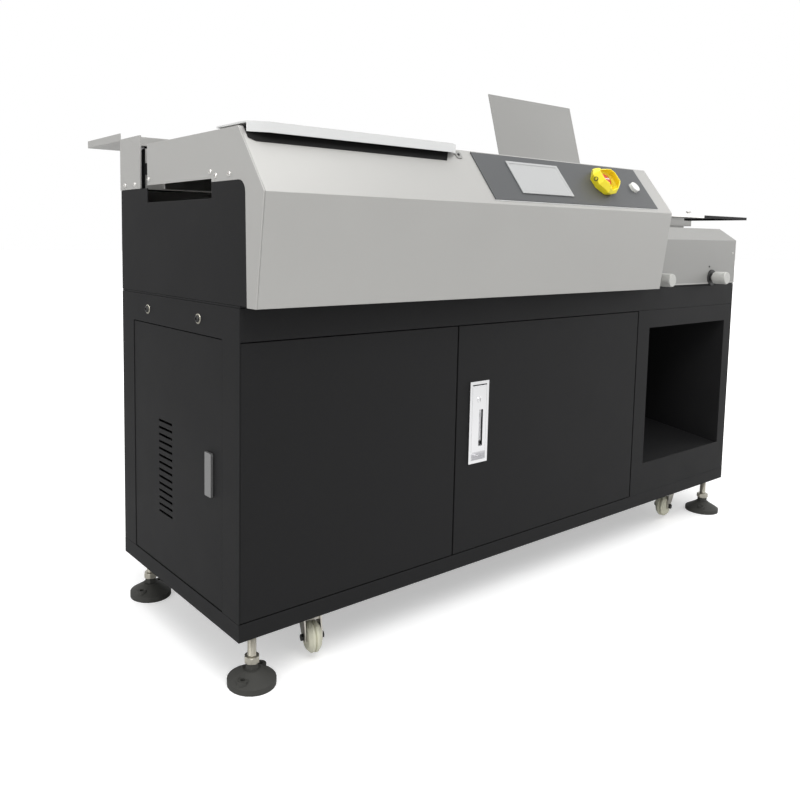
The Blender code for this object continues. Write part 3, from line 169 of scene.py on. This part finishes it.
chrome = surface("chrome", (0.78, 0.78, 0.79), 0.14, metallic=1.0, mottle=0.03, grain=0.02, spread=0.05,
                 bump=0.04, bump_depth=0.0001)
aluminium = surface("machined_aluminium", (0.58, 0.58, 0.59), 0.34, metallic=1.0, mottle=0.04, grain=0.08,
                    stretch=(1.0, 0.08, 1.0), bump=0.12, bump_depth=0.0001)
cream = surface("cream_nylon", (0.60, 0.59, 0.47), 0.48, mottle=0.05, mottle_scale=40.0, grain=0.04)
rubber = surface("dark_rubber", (0.045, 0.045, 0.041), 0.72, mottle=0.14, mottle_scale=50.0, grain=0.15,
                 specular=0.35)
black_steel = surface("blackened_steel", (0.030, 0.030, 0.030), 0.38, metallic=0.6, mottle=0.10, grain=0.10)
yellow = surface("yellow_plastic", (0.88, 0.74, 0.025), 0.36, mottle=0.03, grain=0.03, bump=0.06)
red = surface("red_plastic", (0.55, 0.030, 0.020), 0.30, mottle=0.04, grain=0.03, bump=0.05, coat=0.3)
white = surface("white_plastic", (0.74, 0.74, 0.71), 0.32, mottle=0.02, grain=0.02, bump=0.05)
grey = surface("grey_metal", (0.22, 0.22, 0.22), 0.42, metallic=0.7, mottle=0.08, grain=0.08)
screen = surface("screen_glass", (0.215, 0.228, 0.228), 0.30, mottle=0.03, grain=0.0, bump=0.0,
                 specular=0.35)
bezel = surface("bezel_plastic", (0.40, 0.405, 0.405), 0.45, mottle=0.02, grain=0.03, bump=0.05)
thread = surface("plated_thread", (0.44, 0.42, 0.36), 0.40, metallic=0.8, mottle=0.10, mottle_scale=80.0)
knurl = surface("knurled_metal", (0.50, 0.50, 0.48), 0.55, metallic=0.35, mottle=0.05, mottle_scale=50.0,
                grain=0.35, grain_scale=1600.0, bump=0.6, bump_depth=0.0003)
# Painted shade: a near-black matte look for the sheet under the lid, which stands for the lid's shadow and the
# dark gap beneath it
lid_shadow_look = surface("painted_lid_shadow", (0.014, 0.014, 0.014), 0.85, mottle=0.15, mottle_scale=60.0, grain=0.40,
               specular=0.10)

looks = {
    "black": black,
    "silver": silver,
    "pale": pale,
    "slate": slate,
    "steel": steel,
    "zinc": zinc,
    "chrome": chrome,
    "aluminium": aluminium,
    "cream": cream,
    "rubber": rubber,
    "yellow": yellow,
    "red": red,
    "white": white,
    "grey": grey,
}
slot_of = {row["node"]: row["material_slot"] for row in frame["record"]["subparts"]}
body_of = {
    node: body for body, nodes in frame["record"]["behaviour"]["bodies"].items() for node in nodes
}


# Meshes and pieces


def mesh_of(name, shapes):
    """One mesh from several closed shapes, each a list of points and a list of faces."""
    work = bmesh.new()
    for points, faces in shapes:
        corners = [work.verts.new(point) for point in points]
        for face in faces:
            work.faces.new([corners[i] for i in face])
    bmesh.ops.recalc_face_normals(work, faces=work.faces)
    mesh = bpy.data.meshes.new(name)
    work.to_mesh(mesh)
    work.free()
    return mesh


def soften(obj, width, smooth):
    """Rounds the sharp edges, and shades what is nearly flat as one surface."""
    obj.data.shade_smooth()
    obj.data.set_sharp_from_angle(angle=math.radians(smooth))
    if width:
        bevel = obj.modifiers.new("edges", "BEVEL")
        bevel.width = width
        bevel.segments = 2
        bevel.limit_method = "ANGLE"
        bevel.angle_limit = math.radians(smooth)
        bevel.use_clamp_overlap = True
        bevel.miter_outer = "MITER_ARC"
        bevel.harden_normals = False
    normals = obj.modifiers.new("normals", "WEIGHTED_NORMAL")
    normals.keep_sharp = not width
    normals.weight = 60


def piece(name, shapes, look, body, matrix=None, width=0.0003, smooth=35.0):
    """A new piece that rides on a body. Its shapes are in the matrix's own frame."""
    obj = bpy.data.objects.new(name, mesh_of(name, shapes))
    if matrix is not None:
        obj.data.transform(matrix)
    obj.data.materials.append(look)
    bpy.context.scene.collection.objects.link(obj)
    soften(obj, width, smooth)
    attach(obj, body)
    return obj


def dressed(node, look, width):
    """A copy of a CAD node with its edges rounded, which stands for it."""
    source = frame["nodes"][node]
    work = bmesh.new()
    work.from_mesh(source.data)
    bmesh.ops.remove_doubles(work, verts=work.verts, dist=weld)
    bmesh.ops.dissolve_limit(work, angle_limit=math.radians(0.5), verts=work.verts, edges=work.edges)
    points = [vert.co.copy() for vert in work.verts]
    faces = [[vert.index for vert in face.verts] for face in work.faces]
    work.free()
    obj = piece(
        node + "_skin",
        [(points, faces)],
        look,
        body_of[node],
        width=width,
        smooth=30.0,
    )
    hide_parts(node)


def round_at(turn, corners):
    """The share of its radius that a ring has at an angle: 1 for a circle, less on a polygon's sides."""
    if not corners:
        return 1.0
    wedge = 2 * math.pi / corners
    inside = (turn % wedge) - wedge / 2
    return math.cos(wedge / 2) / math.cos(inside)


def revolve(rings, sides=36):
    """Rings of (radius, height) or (radius, height, corners) joined along Z, with flat ends."""
    points = []
    faces = []
    for ring in rings:
        radius, height = ring[:2]
        corners = ring[2] if len(ring) > 2 else 0
        for i in range(sides):
            angle = 2 * math.pi * i / sides
            reach = radius * round_at(angle, corners)
            points.append((reach * math.cos(angle), reach * math.sin(angle), height))
    for k in range(len(rings) - 1):
        for i in range(sides):
            j = (i + 1) % sides
            faces.append((k * sides + i, k * sides + j, (k + 1) * sides + j, (k + 1) * sides + i))
    last = (len(rings) - 1) * sides
    faces.append(tuple(range(sides)))
    faces.append(tuple(range(last, last + sides)))
    return points, faces


def tube(rings, sides=36):
    """A revolved ring with a hole: the last ring joins back to the first."""
    points, faces = revolve(rings, sides)
    faces = faces[:-2]
    last = (len(rings) - 1) * sides
    for i in range(sides):
        j = (i + 1) % sides
        faces.append((last + i, last + j, j, i))
    return points, faces


def slab(x0, x1, y0, y1, z0, z1):
    points = [(x, y, z) for x in (x0, x1) for y in (y0, y1) for z in (z0, z1)]
    faces = [(0, 1, 3, 2), (4, 6, 7, 5), (0, 4, 5, 1), (2, 3, 7, 6), (0, 2, 6, 4), (1, 5, 7, 3)]
    return points, faces


def plate(outline, low, high):
    """An outline in X and Y, raised along Z."""
    count = len(outline)
    points = [(x, y, low) for x, y in outline] + [(x, y, high) for x, y in outline]
    faces = [tuple(range(count)), tuple(range(count, 2 * count))]
    for i in range(count):
        j = (i + 1) % count
        faces.append((i, j, count + j, count + i))
    return points, faces


def rounded(x0, x1, y0, y1, radius, steps=5):
    """A rectangle's outline with round corners."""
    outline = []
    places = (
        (x1 - radius, y1 - radius, 0),
        (x0 + radius, y1 - radius, 90),
        (x0 + radius, y0 + radius, 180),
        (x1 - radius, y0 + radius, 270),
    )
    for x, y, start in places:
        for i in range(steps + 1):
            angle = math.radians(start + 90 * i / steps)
            outline.append((x + radius * math.cos(angle), y + radius * math.sin(angle)))
    return outline


def button_head(radius, height):
    """A domed screw head with a hexagon socket."""
    socket = 0.45
    return revolve(
        [
            (radius, 0),
            (radius, height * 0.25),
            (radius * 0.90, height * 0.62),
            (radius * 0.72, height * 0.90),
            (radius * 0.60, height),
            (radius * socket * 1.08, height, 6),
            (radius * socket, height * 0.9, 6),
            (radius * socket, height * 0.25, 6),
        ],
        24,
    )


def hex_head(radius, height):
    """A chamfered hexagon nut or bolt head."""
    return revolve(
        [
            (radius * 0.88, 0),
            (radius, height * 0.12, 6),
            (radius, height * 0.88, 6),
            (radius * 0.88, height),
            (radius * 0.80, height),
        ]
    )


left_face = ((0, -1, 0), (-1, 0, 0))
front_face = ((1, 0, 0), (0, -1, 0))
right_face = ((0, 1, 0), (1, 0, 0))
rear_face = ((-1, 0, 0), (0, 1, 0))
top_face = ((1, 0, 0), (0, 0, 1))
under_face = ((1, 0, 0), (0, 0, -1))


def screws(name, places, face, look, radius, height):
    """Alike screws on one face of the cabinet, as separate pieces."""
    for number, place in enumerate(places, 1):
        head = [button_head(radius, height)]
        piece(f"{name}_{number}", head, look, "cabinet", frame_of(at(*place), *face), width=0)


# The machine's own pieces, with rounded edges

edge_width = {
    "cabinet_frame": 0.0006,
    "base_pan": 0.0006,
    "front_hood": 0.0016,
    "left_cheek": 0.0006,
    "rear_cover": 0.0008,
    "nip_housing": 0.0012,
    "lid": 0.0010,
    "left_door": 0.0007,
    "right_door": 0.0007,
    "touchscreen": 0.0012,
    "backrest": 0.0004,
    "control_panel": 0.0003,
}
own_look = {
    "nip_housing": dim_silver,
    "backrest": dim_silver,
    "touchscreen": bezel,
    "left_knob": knurl,
    "right_knob": knurl,
}
own_shape = ("estop_guard", "estop_button")
for node in frame["nodes"]:
    if node not in own_shape:
        dressed(node, own_look.get(node, looks[slot_of[node]]), edge_width.get(node, 0.0005))


# Feet: the stud's thread and its nut

foot_inset_x = 0.038
foot_inset_y = 0.026
stud_radius = 0.0062
stud_sides = 20
thread_depth = 0.0006
thread_pitch = 0.0020
thread_runout = 0.0002
nut_low = 0.0335
nut_height = 0.0102
nut_radius = 0.0125
foot_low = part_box("front_left_foot")[0].z - corner.z
foot_x = {"left": foot_inset_x, "right": cabinet_length - foot_inset_x}
foot_y = {"front": foot_inset_y, "rear": cabinet_depth - foot_inset_y}
for side, y in foot_y.items():
    for end, x in foot_x.items():
        body = f"{side}_{end}_foot"
        base = frame_of(at(x, y, foot_low), *top_face)
        start = nut_low + nut_height
        turns = int((-foot_low - start) / thread_pitch)
        rings = []
        for k in range(turns):
            height = start + k * thread_pitch
            rings.append((stud_radius, height))
            rings.append((stud_radius + thread_depth, height + thread_pitch / 2))
        rings.append((stud_radius, start + turns * thread_pitch - thread_runout))
        stud = [revolve(rings, stud_sides)]
        piece(f"{body}_thread", stud, thread, body, base, width=0)
        nut = [hex_head(nut_radius, nut_height)]
        piece(f"{body}_nut", nut, thread, body, base @ raised(nut_low), width=0)


# The control panel's fittings: the display, the start button's ring and the light line along the panel

display_inset = 0.0052
display_low = 0.0245 + display_inset
display_high = 0.096 - display_inset
display_corner = 0.001
display_seat = 0.0004
display_thickness = 0.0006
screen_low, screen_high = [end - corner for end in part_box("touchscreen")]
glass = rounded(
    screen_low.x + display_inset,
    screen_high.x - display_inset,
    display_low,
    display_high,
    display_corner,
)
seat = slope @ raised(display_seat)
piece("display", [plate(glass, 0, display_thickness)], screen, "cabinet", seat, width=0.0002)

start_place = (0.897, 0.0585, 0)
start_profile = [(0.0130, 0), (0.0130, 0.0012), (0.0124, 0.0018), (0.0113, 0.0018), (0.0113, 0)]
seat = slope @ Matrix.Translation(start_place)
piece("start_ring", [tube(start_profile)], bezel, "cabinet", seat, width=0)

same_level = 0.0005
trim_width = 0.0016
trim_height = 0.0006
panel = frame["nodes"]["control_panel"]
to_slope = slope.inverted() @ panel.matrix_world
spots = [to_slope @ vert.co for vert in panel.data.vertices]
lowest = min(spot.y for spot in spots)
highest = max(spot.y for spot in spots)
low_right = max(spot.x for spot in spots if spot.y < lowest + same_level)
low_left = min(spot.x for spot in spots if spot.y < lowest + same_level)
high_right = max(spot.x for spot in spots if spot.y > highest - same_level)
lower_trim = [
    (low_left, lowest - trim_width),
    (low_right + trim_width, lowest - trim_width),
    (low_right, lowest),
    (low_left, lowest),
]
right_trim = [
    (low_right, lowest),
    (low_right + trim_width, lowest - trim_width / 2),
    (high_right + trim_width, highest),
    (high_right, highest),
]
for name, outline in (("panel_lower_trim", lower_trim), ("panel_right_trim", right_trim)):
    piece(name, [plate(outline, 0, trim_height)], pale, "cabinet", slope, width=0.0001)


# Emergency stop: a faceted guard of two wings with a notch between them, its lock hole, and its cap

stop_place = slope @ Matrix.Translation((0.789, 0.062, 0))
guard_sides = 32
guard_corners = 8
stem_radius = 0.0113
base_radius = 0.027
bulge_radius = 0.0325
rim_radius = 0.0275
guard_wall = 0.0022
guard_seat = 0.0002
base_height = 0.004
least_wing = 0.003
wing_height = 0.0265
bulge_share = 0.45
notch_half_angle = 0.16
notch_flank_angle = 0.55
lip_share = 0.45
lip_flank_angle = 1.3


def wing_top(turn):
    """How high the guard's rim stands at an angle: low in the upper notch and at the lower lip."""
    from_notch = abs((turn - math.pi / 2 + math.pi) % (2 * math.pi) - math.pi)
    from_lip = math.pi - from_notch
    rise = min(1.0, max(0.0, (from_notch - notch_half_angle) / notch_flank_angle))
    fall = min(1.0, max(0.0, lip_share + from_lip / lip_flank_angle))
    low = base_height + least_wing
    return low + (wing_height - low) * min(rise, fall)


def guard_profile(turn):
    """The guard's section at an angle, from the stem's hole round the wall and back."""
    top = wing_top(turn)
    lean = (top - base_height) / (wing_height - base_height)
    outer = bulge_radius + (rim_radius - bulge_radius) * lean
    middle = base_height + (top - base_height) * bulge_share
    return [
        (stem_radius, guard_seat),
        (base_radius, guard_seat),
        (bulge_radius, middle),
        (outer, top),
        (outer - guard_wall, top),
        (bulge_radius - guard_wall, middle),
        (base_radius - guard_wall, base_height),
        (stem_radius, base_height),
    ]


def guard_shape():
    points = []
    faces = []
    for i in range(guard_sides):
        turn = 2 * math.pi * i / guard_sides
        share = round_at(turn + math.pi / guard_corners, guard_corners)
        profile = guard_profile(turn)
        for radius, height in profile:
            reach = radius if radius == stem_radius else radius * share
            points.append((reach * math.cos(turn), reach * math.sin(turn), height))
        count = len(profile)
        here = i * count
        there = (i + 1) % guard_sides * count
        for k in range(count):
            m = (k + 1) % count
            faces.append((here + k, here + m, there + m, there + k))
    return points, faces


guard = piece("estop_wings", [guard_shape()], yellow, "cabinet", stop_place, width=0.0004)
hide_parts("estop_guard")
lock_inset = 0.0012
lock_height = 0.0150
lock_profile = [(0.0042, 0), (0.0042, 0.0008), (0.0030, 0.0008), (0.0030, 0)]
lock_seat = frame_of(Vector((lock_inset - bulge_radius, 0, lock_height)), (0, 1, 0), (-1, 0, 0.25))
piece("estop_lock_hole", [tube(lock_profile)], black_steel, "cabinet", stop_place @ lock_seat, width=0)
cap_profile = [
    (0.0108, -0.017),
    (0.0108, 0.0093),
    (0.0135, 0.0100),
    (0.0150, 0.0122),
    (0.0146, 0.0148),
    (0.0120, 0.0170),
    (0.0060, 0.0180),
]
cap_sides = 40
cap = piece("estop_cap", [revolve(cap_profile, cap_sides)], red, "estop_button", stop_place, width=0)
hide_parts("estop_button")
arrow_seat = 0.0178
arrow_thickness = 0.0005
arrow = [
    (-0.006, -0.001),
    (0.004, -0.001),
    (0.004, -0.0035),
    (0.008, 0),
    (0.004, 0.0035),
    (0.004, 0.001),
    (-0.006, 0.001),
]
mark = [plate(arrow, arrow_seat, arrow_seat + arrow_thickness)]
piece("estop_cap_arrow", mark, white, "estop_button", stop_place, width=0)


# Knobs: ribbed grips with their turned faces and collars

knob_z = 0.503
knob_x = {"left": 1.048, "right": 1.284}
grip_radius = 0.0143
grip_groove = 0.0007
grip_ribs = 40
grip_low = 0.0105
grip_high = 0.0355
face_profile = [(0.0118, grip_high), (0.0114, 0.0377), (0.0050, 0.0377), (0.0046, 0.0368)]
face_sides = 32
wide_collar = [(0.0185, 0), (0.0185, 0.0024), (0.0178, 0.0032), (0.0068, 0.0032), (0.0068, 0)]
slim_collar = [(0.0120, 0), (0.0120, 0.0018), (0.0112, 0.0026), (0.0068, 0.0026), (0.0068, 0)]


def ribbed(radius, depth, ribs, low, high):
    """A grip with sharp ribs along it."""
    outline = []
    for i in range(2 * ribs):
        reach = radius - depth * (i % 2)
        outline.append((reach * math.cos(math.pi * i / ribs), reach * math.sin(math.pi * i / ribs)))
    return plate(outline, low, high)


for end, x in knob_x.items():
    seat = frame_of(at(x, 0, knob_z), *front_face)
    grip = [ribbed(grip_radius, grip_groove, grip_ribs, grip_low, grip_high)]
    piece(f"{end}_knob_grip", grip, knurl, f"{end}_knob", seat, width=0)
    piece(f"{end}_knob_face", [revolve(face_profile, face_sides)], steel, f"{end}_knob", seat, width=0)
for end, profile, look in (("right", wide_collar, black_steel), ("left", slim_collar, steel)):
    seat = frame_of(at(knob_x[end], 0, knob_z), *front_face)
    piece(f"{end}_knob_collar", [tube(profile)], look, "cabinet", seat, width=0)
nip_screw_radius = 0.0022
nip_screw_height = 0.0012
screws("nip_set_screw", [(1.272, 0, 0.529)], front_face, black_steel, nip_screw_radius, nip_screw_height)
nip_places = [(1.010, 0, 0.560), (1.380, 0, 0.560)]
screws("nip_face_screw", nip_places, front_face, steel, nip_screw_radius, nip_screw_height)
nip_edge = slab(0.990, 1.3935, -0.0008, -0.0001, 0.4888, 0.4918)
piece("nip_lower_edge", [nip_edge], silver, "cabinet", Matrix.Translation(corner), width=0.0002)


# Under the lid: a dark sheet on the slope that is painted shade, shaped as the lid's cast shadow and standing
# for that shadow and the dark gap under the lid; the tab beside it, and the clamp's pale rear face

sheet_seat = 0.0001
strip_top = 0.0008
# Painted shade: this outline is the lid's cast shadow on the slope, its slanted ends following the lid's
# chamfered corners as the light falls
strip = [
    (0.0085, 0.0925),
    (0.0192, 0.087),
    (0.3845, 0.086),
    (0.3979, 0.1055),
    (0.3979, 0.113),
    (0.0085, 0.113),
]
lid_shadow_sheet = [plate(strip, sheet_seat, strip_top)]
piece("painted_lid_shadow_strip", lid_shadow_sheet, lid_shadow_look, "cabinet", slope, width=0.0001)
tab_top = 0.0016
tab_corner = 0.004
tab = [plate(rounded(0.4125, 0.4265, 0.0935, 0.1085, tab_corner), sheet_seat, tab_top)]
piece("lid_tab", tab, dim_silver, "cabinet", slope, width=0.0003)
seat = slope @ Matrix.Translation((0.4190, 0.1010, tab_top))
tab_screw_radius = 0.0027
tab_screw_height = 0.0014
tab_screw = [button_head(tab_screw_radius, tab_screw_height)]
piece("lid_tab_screw", tab_screw, black_steel, "cabinet", seat, width=0)
clamp_face = slab(0.0105, 0.3995, 0.3330, 0.3334, 0.6625, 0.7310)
piece("clamp_face", [clamp_face], silver, "carriage", Matrix.Translation(corner), width=0.0001)


# Screws and bolts

hood_top_screw_z = 0.677
bracket_screw_z = 0.671
cheek_places = [
    (0, 0.297, hood_top_screw_z),
    (0, 0.084, hood_top_screw_z),
    (0, 0.068, 0.6705),
    (0, 0.029, bracket_screw_z),
]
bracket_places = [(0, 0.396, bracket_screw_z), (0, 0.354, bracket_screw_z)]
bright_radius = 0.0042
dark_radius = 0.0040
head_height = 0.0022
screws("cheek_screw", cheek_places, left_face, steel, bright_radius, head_height)
screws("rear_bracket_screw", bracket_places, left_face, steel, bright_radius, head_height)
washer_profile = [(0.0080, 0), (0.0076, 0.0009), (0.0048, 0.0009), (0.0048, 0)]
washer_thickness = 0.0009
rail_bolt_z = 0.460
rail_bolt_radius = 0.0058
rail_bolt_height = 0.0030
for number, y in enumerate((0.123, 0.305), 1):
    place = frame_of(at(0, y, rail_bolt_z), *left_face)
    piece(f"rail_washer_{number}", [tube(washer_profile)], thread, "cabinet", place, width=0)
    bolt = [button_head(rail_bolt_radius, rail_bolt_height)]
    piece(f"rail_bolt_{number}", bolt, black_steel, "cabinet", place @ raised(washer_thickness), width=0)
panel_screw_z = (0.040, 0.424)
cover_screw_z = (0.502, 0.735)
rear_y = 0.414
cover_y = 0.418
rear_places = [(x, rear_y, z) for x in (0.045, 0.36, 0.696, 1.032, 1.347) for z in panel_screw_z]
side_places = [(1.392, y, z) for y in (0.064, 0.350) for z in panel_screw_z]
cover_places = [(x, cover_y, z) for x in (0.02, 0.46, 0.92, 1.372) for z in cover_screw_z]
screws("rear_panel_screw", rear_places, rear_face, black_steel, bright_radius, head_height)
screws("right_panel_screw", side_places, right_face, black_steel, bright_radius, head_height)
screws("rear_cover_screw", cover_places, rear_face, black_steel, dark_radius, head_height)


# Latch: the key cylinder in the paddle

latch_place = frame_of(at(0.490, -0.003, 0.3015), *front_face)
key_profile = [(0.0052, 0), (0.0052, 0.0009), (0.0046, 0.0013)]
key_sides = 32
key_slot = slab(-0.0005, 0.0005, -0.0026, 0.0026, 0.0012, 0.00145)
cylinder = [revolve(key_profile, key_sides)]
piece("latch_key_cylinder", cylinder, chrome, "latch_paddle", latch_place, width=0)
piece("latch_key_slot", [key_slot], black_steel, "latch_paddle", latch_place, width=0)


# Castors: the plates' bolts and the axles' nuts

castor_inset_x = 0.160
castor_inset_y = 0.052
plate_bolt_x = 0.0245
plate_bolt_y = 0.0215
plate_bolt_radius = 0.0052
plate_bolt_height = 0.0032
plate_low = -0.0025
axle_nut_reach = 0.0152
axle_nut_radius = 0.0058
axle_nut_height = 0.0040
castor_x = {"left": castor_inset_x, "right": cabinet_length - castor_inset_x}
castor_y = {"front": castor_inset_y, "rear": cabinet_depth - castor_inset_y}


def axle_of(node):
    """The horizontal direction that most of a wheel's flat sides face."""
    wheel = frame["nodes"][node]
    turned = wheel.matrix_world.to_3x3()
    level = 0.01
    areas = {}
    for face in wheel.data.polygons:
        normal = turned @ face.normal
        if abs(normal.z) < level:
            key = (round(normal.x, 2), round(normal.y, 2))
            areas[key] = areas.get(key, 0) + face.area
    x, y = max(areas, key=areas.get)
    return Vector((x, y, 0)).normalized()


for side, y in castor_y.items():
    for end, x in castor_x.items():
        name = f"{side}_{end}_castor"
        for number, (dx, dy) in enumerate(((-1, -1), (-1, 1), (1, -1), (1, 1)), 1):
            place = frame_of(at(x + dx * plate_bolt_x, y + dy * plate_bolt_y, plate_low), *under_face)
            bolt = [hex_head(plate_bolt_radius, plate_bolt_height)]
            piece(f"{name}_bolt_{number}", bolt, black_steel, "cabinet", place, width=0)
        wheel_low, wheel_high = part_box(f"{name}_wheel")
        hub = (wheel_low + wheel_high) / 2
        axle = axle_of(f"{name}_wheel")
        for number, sign in enumerate((-1, 1), 1):
            place = frame_of(hub + axle * sign * axle_nut_reach, (0, 0, 1), axle * sign)
            nut = [hex_head(axle_nut_radius, axle_nut_height)]
            piece(f"{name}_axle_nut_{number}", nut, black_steel, name, place, width=0)


# Camera, light and background

view_azimuth = math.radians(37.16)
view_down = math.radians(5.4)
view_roll = math.radians(0.78)
photo_width = 800
focal_pixels = 784.5
centre_x = 332
centre_y = 312
eye = at(-0.5505, -0.938, 0.5843)

ahead = Vector(
    (
        math.sin(view_azimuth) * math.cos(view_down),
        math.cos(view_azimuth) * math.cos(view_down),
        -math.sin(view_down),
    )
)
level = Vector((math.cos(view_azimuth), -math.sin(view_azimuth), 0))
upright = level.cross(ahead)
camera_right = level * math.cos(view_roll) + upright * math.sin(view_roll)
camera_up = upright * math.cos(view_roll) - level * math.sin(view_roll)
turned = Matrix((camera_right, camera_up, -ahead)).transposed().to_4x4()
lens = bpy.data.cameras.new("camera")
lens.sensor_width = 36
lens.lens = focal_pixels / photo_width * lens.sensor_width
lens.shift_x = (photo_width / 2 - centre_x) / photo_width
lens.shift_y = (centre_y - photo_width / 2) / photo_width
lens.clip_end = 100
camera = bpy.data.objects.new("camera", lens)
camera.matrix_world = Matrix.Translation(eye) @ turned
bpy.context.scene.collection.objects.link(camera)
bpy.context.scene.camera = camera


def lamp(name, place, aim, size, power):
    data = bpy.data.lights.new(name, "AREA")
    data.shape = "RECTANGLE"
    data.size, data.size_y = size
    data.energy = power
    obj = bpy.data.objects.new(name, data)
    obj.location = place
    obj.rotation_euler = (Vector(aim) - Vector(place)).to_track_quat("-Z", "Y").to_euler()
    bpy.context.scene.collection.objects.link(obj)


middle = (0, 0, 0.5)
lamps = {
    "key": ((-1.2, -2.3, 3.6), (2.6, 2.2), 88),
    "top": ((0.2, 0.3, 3.6), (3.0, 2.0), 72),
    "left_fill": ((-3.4, -0.8, 1.4), (2.0, 2.0), 30),
    "right_fill": ((3.4, -1.4, 1.6), (2.0, 2.0), 25),
}
for name, (place, size, power) in lamps.items():
    lamp(name, place, middle, size, power)

world = bpy.data.worlds.new("studio")
world.use_nodes = True
bpy.context.scene.world = world
tree = world.node_tree
background = tree.nodes["Background"]
rays = tree.nodes.new("ShaderNodeLightPath")
seen = tree.nodes.new("ShaderNodeMath")
seen.operation = "MAXIMUM"
tree.links.new(rays.outputs["Is Camera Ray"], seen.inputs[0])
tree.links.new(rays.outputs["Is Transmission Ray"], seen.inputs[1])
glossy = tree.nodes.new("ShaderNodeMath")
glossy.operation = "MAXIMUM"
tree.links.new(seen.outputs["Value"], glossy.inputs[0])
tree.links.new(rays.outputs["Is Glossy Ray"], glossy.inputs[1])
fill_strength = 0.45
strength = add(tree, "ShaderNodeMapRange", To_Min=fill_strength, To_Max=1.0)
tree.links.new(glossy.outputs["Value"], strength.inputs["Value"])
background.inputs["Color"].default_value = (1, 1, 1, 1)
tree.links.new(strength.outputs["Result"], background.inputs["Strength"])

floor_reach = 30
floor_thickness = 0.02
shadow_reach = 0.9
white_reach = 2.6
shadow_glow = 0.42
sheet = slab(-floor_reach, floor_reach, -floor_reach, floor_reach, -floor_thickness, 0)
floor = bpy.data.objects.new("floor", mesh_of("floor", [sheet]))
ground = surface("pale_floor", (0.80, 0.80, 0.80), 0.75, mottle=0.01, grain=0.01, bump=0.02)
tree = ground.node_tree
rays = tree.nodes.new("ShaderNodeLightPath")
place = tree.nodes.new("ShaderNodeTexCoord")
reach = tree.nodes.new("ShaderNodeVectorMath")
reach.operation = "LENGTH"
tree.links.new(place.outputs["Object"], reach.inputs[0])
fade = add(
    tree, "ShaderNodeMapRange", From_Min=shadow_reach, From_Max=white_reach, To_Min=shadow_glow, To_Max=1.0
)
tree.links.new(reach.outputs["Value"], fade.inputs["Value"])
glow = tree.nodes.new("ShaderNodeMath")
glow.operation = "MULTIPLY"
tree.links.new(rays.outputs["Is Camera Ray"], glow.inputs[0])
tree.links.new(fade.outputs["Result"], glow.inputs[1])
shader = tree.nodes["Principled BSDF"]
shader.inputs["Emission Color"].default_value = (1, 1, 1, 1)
tree.links.new(glow.outputs["Value"], shader.inputs["Emission Strength"])
floor.data.materials.append(ground)
bpy.context.scene.collection.objects.link(floor)

bpy.context.scene.view_settings.view_transform = "Standard"
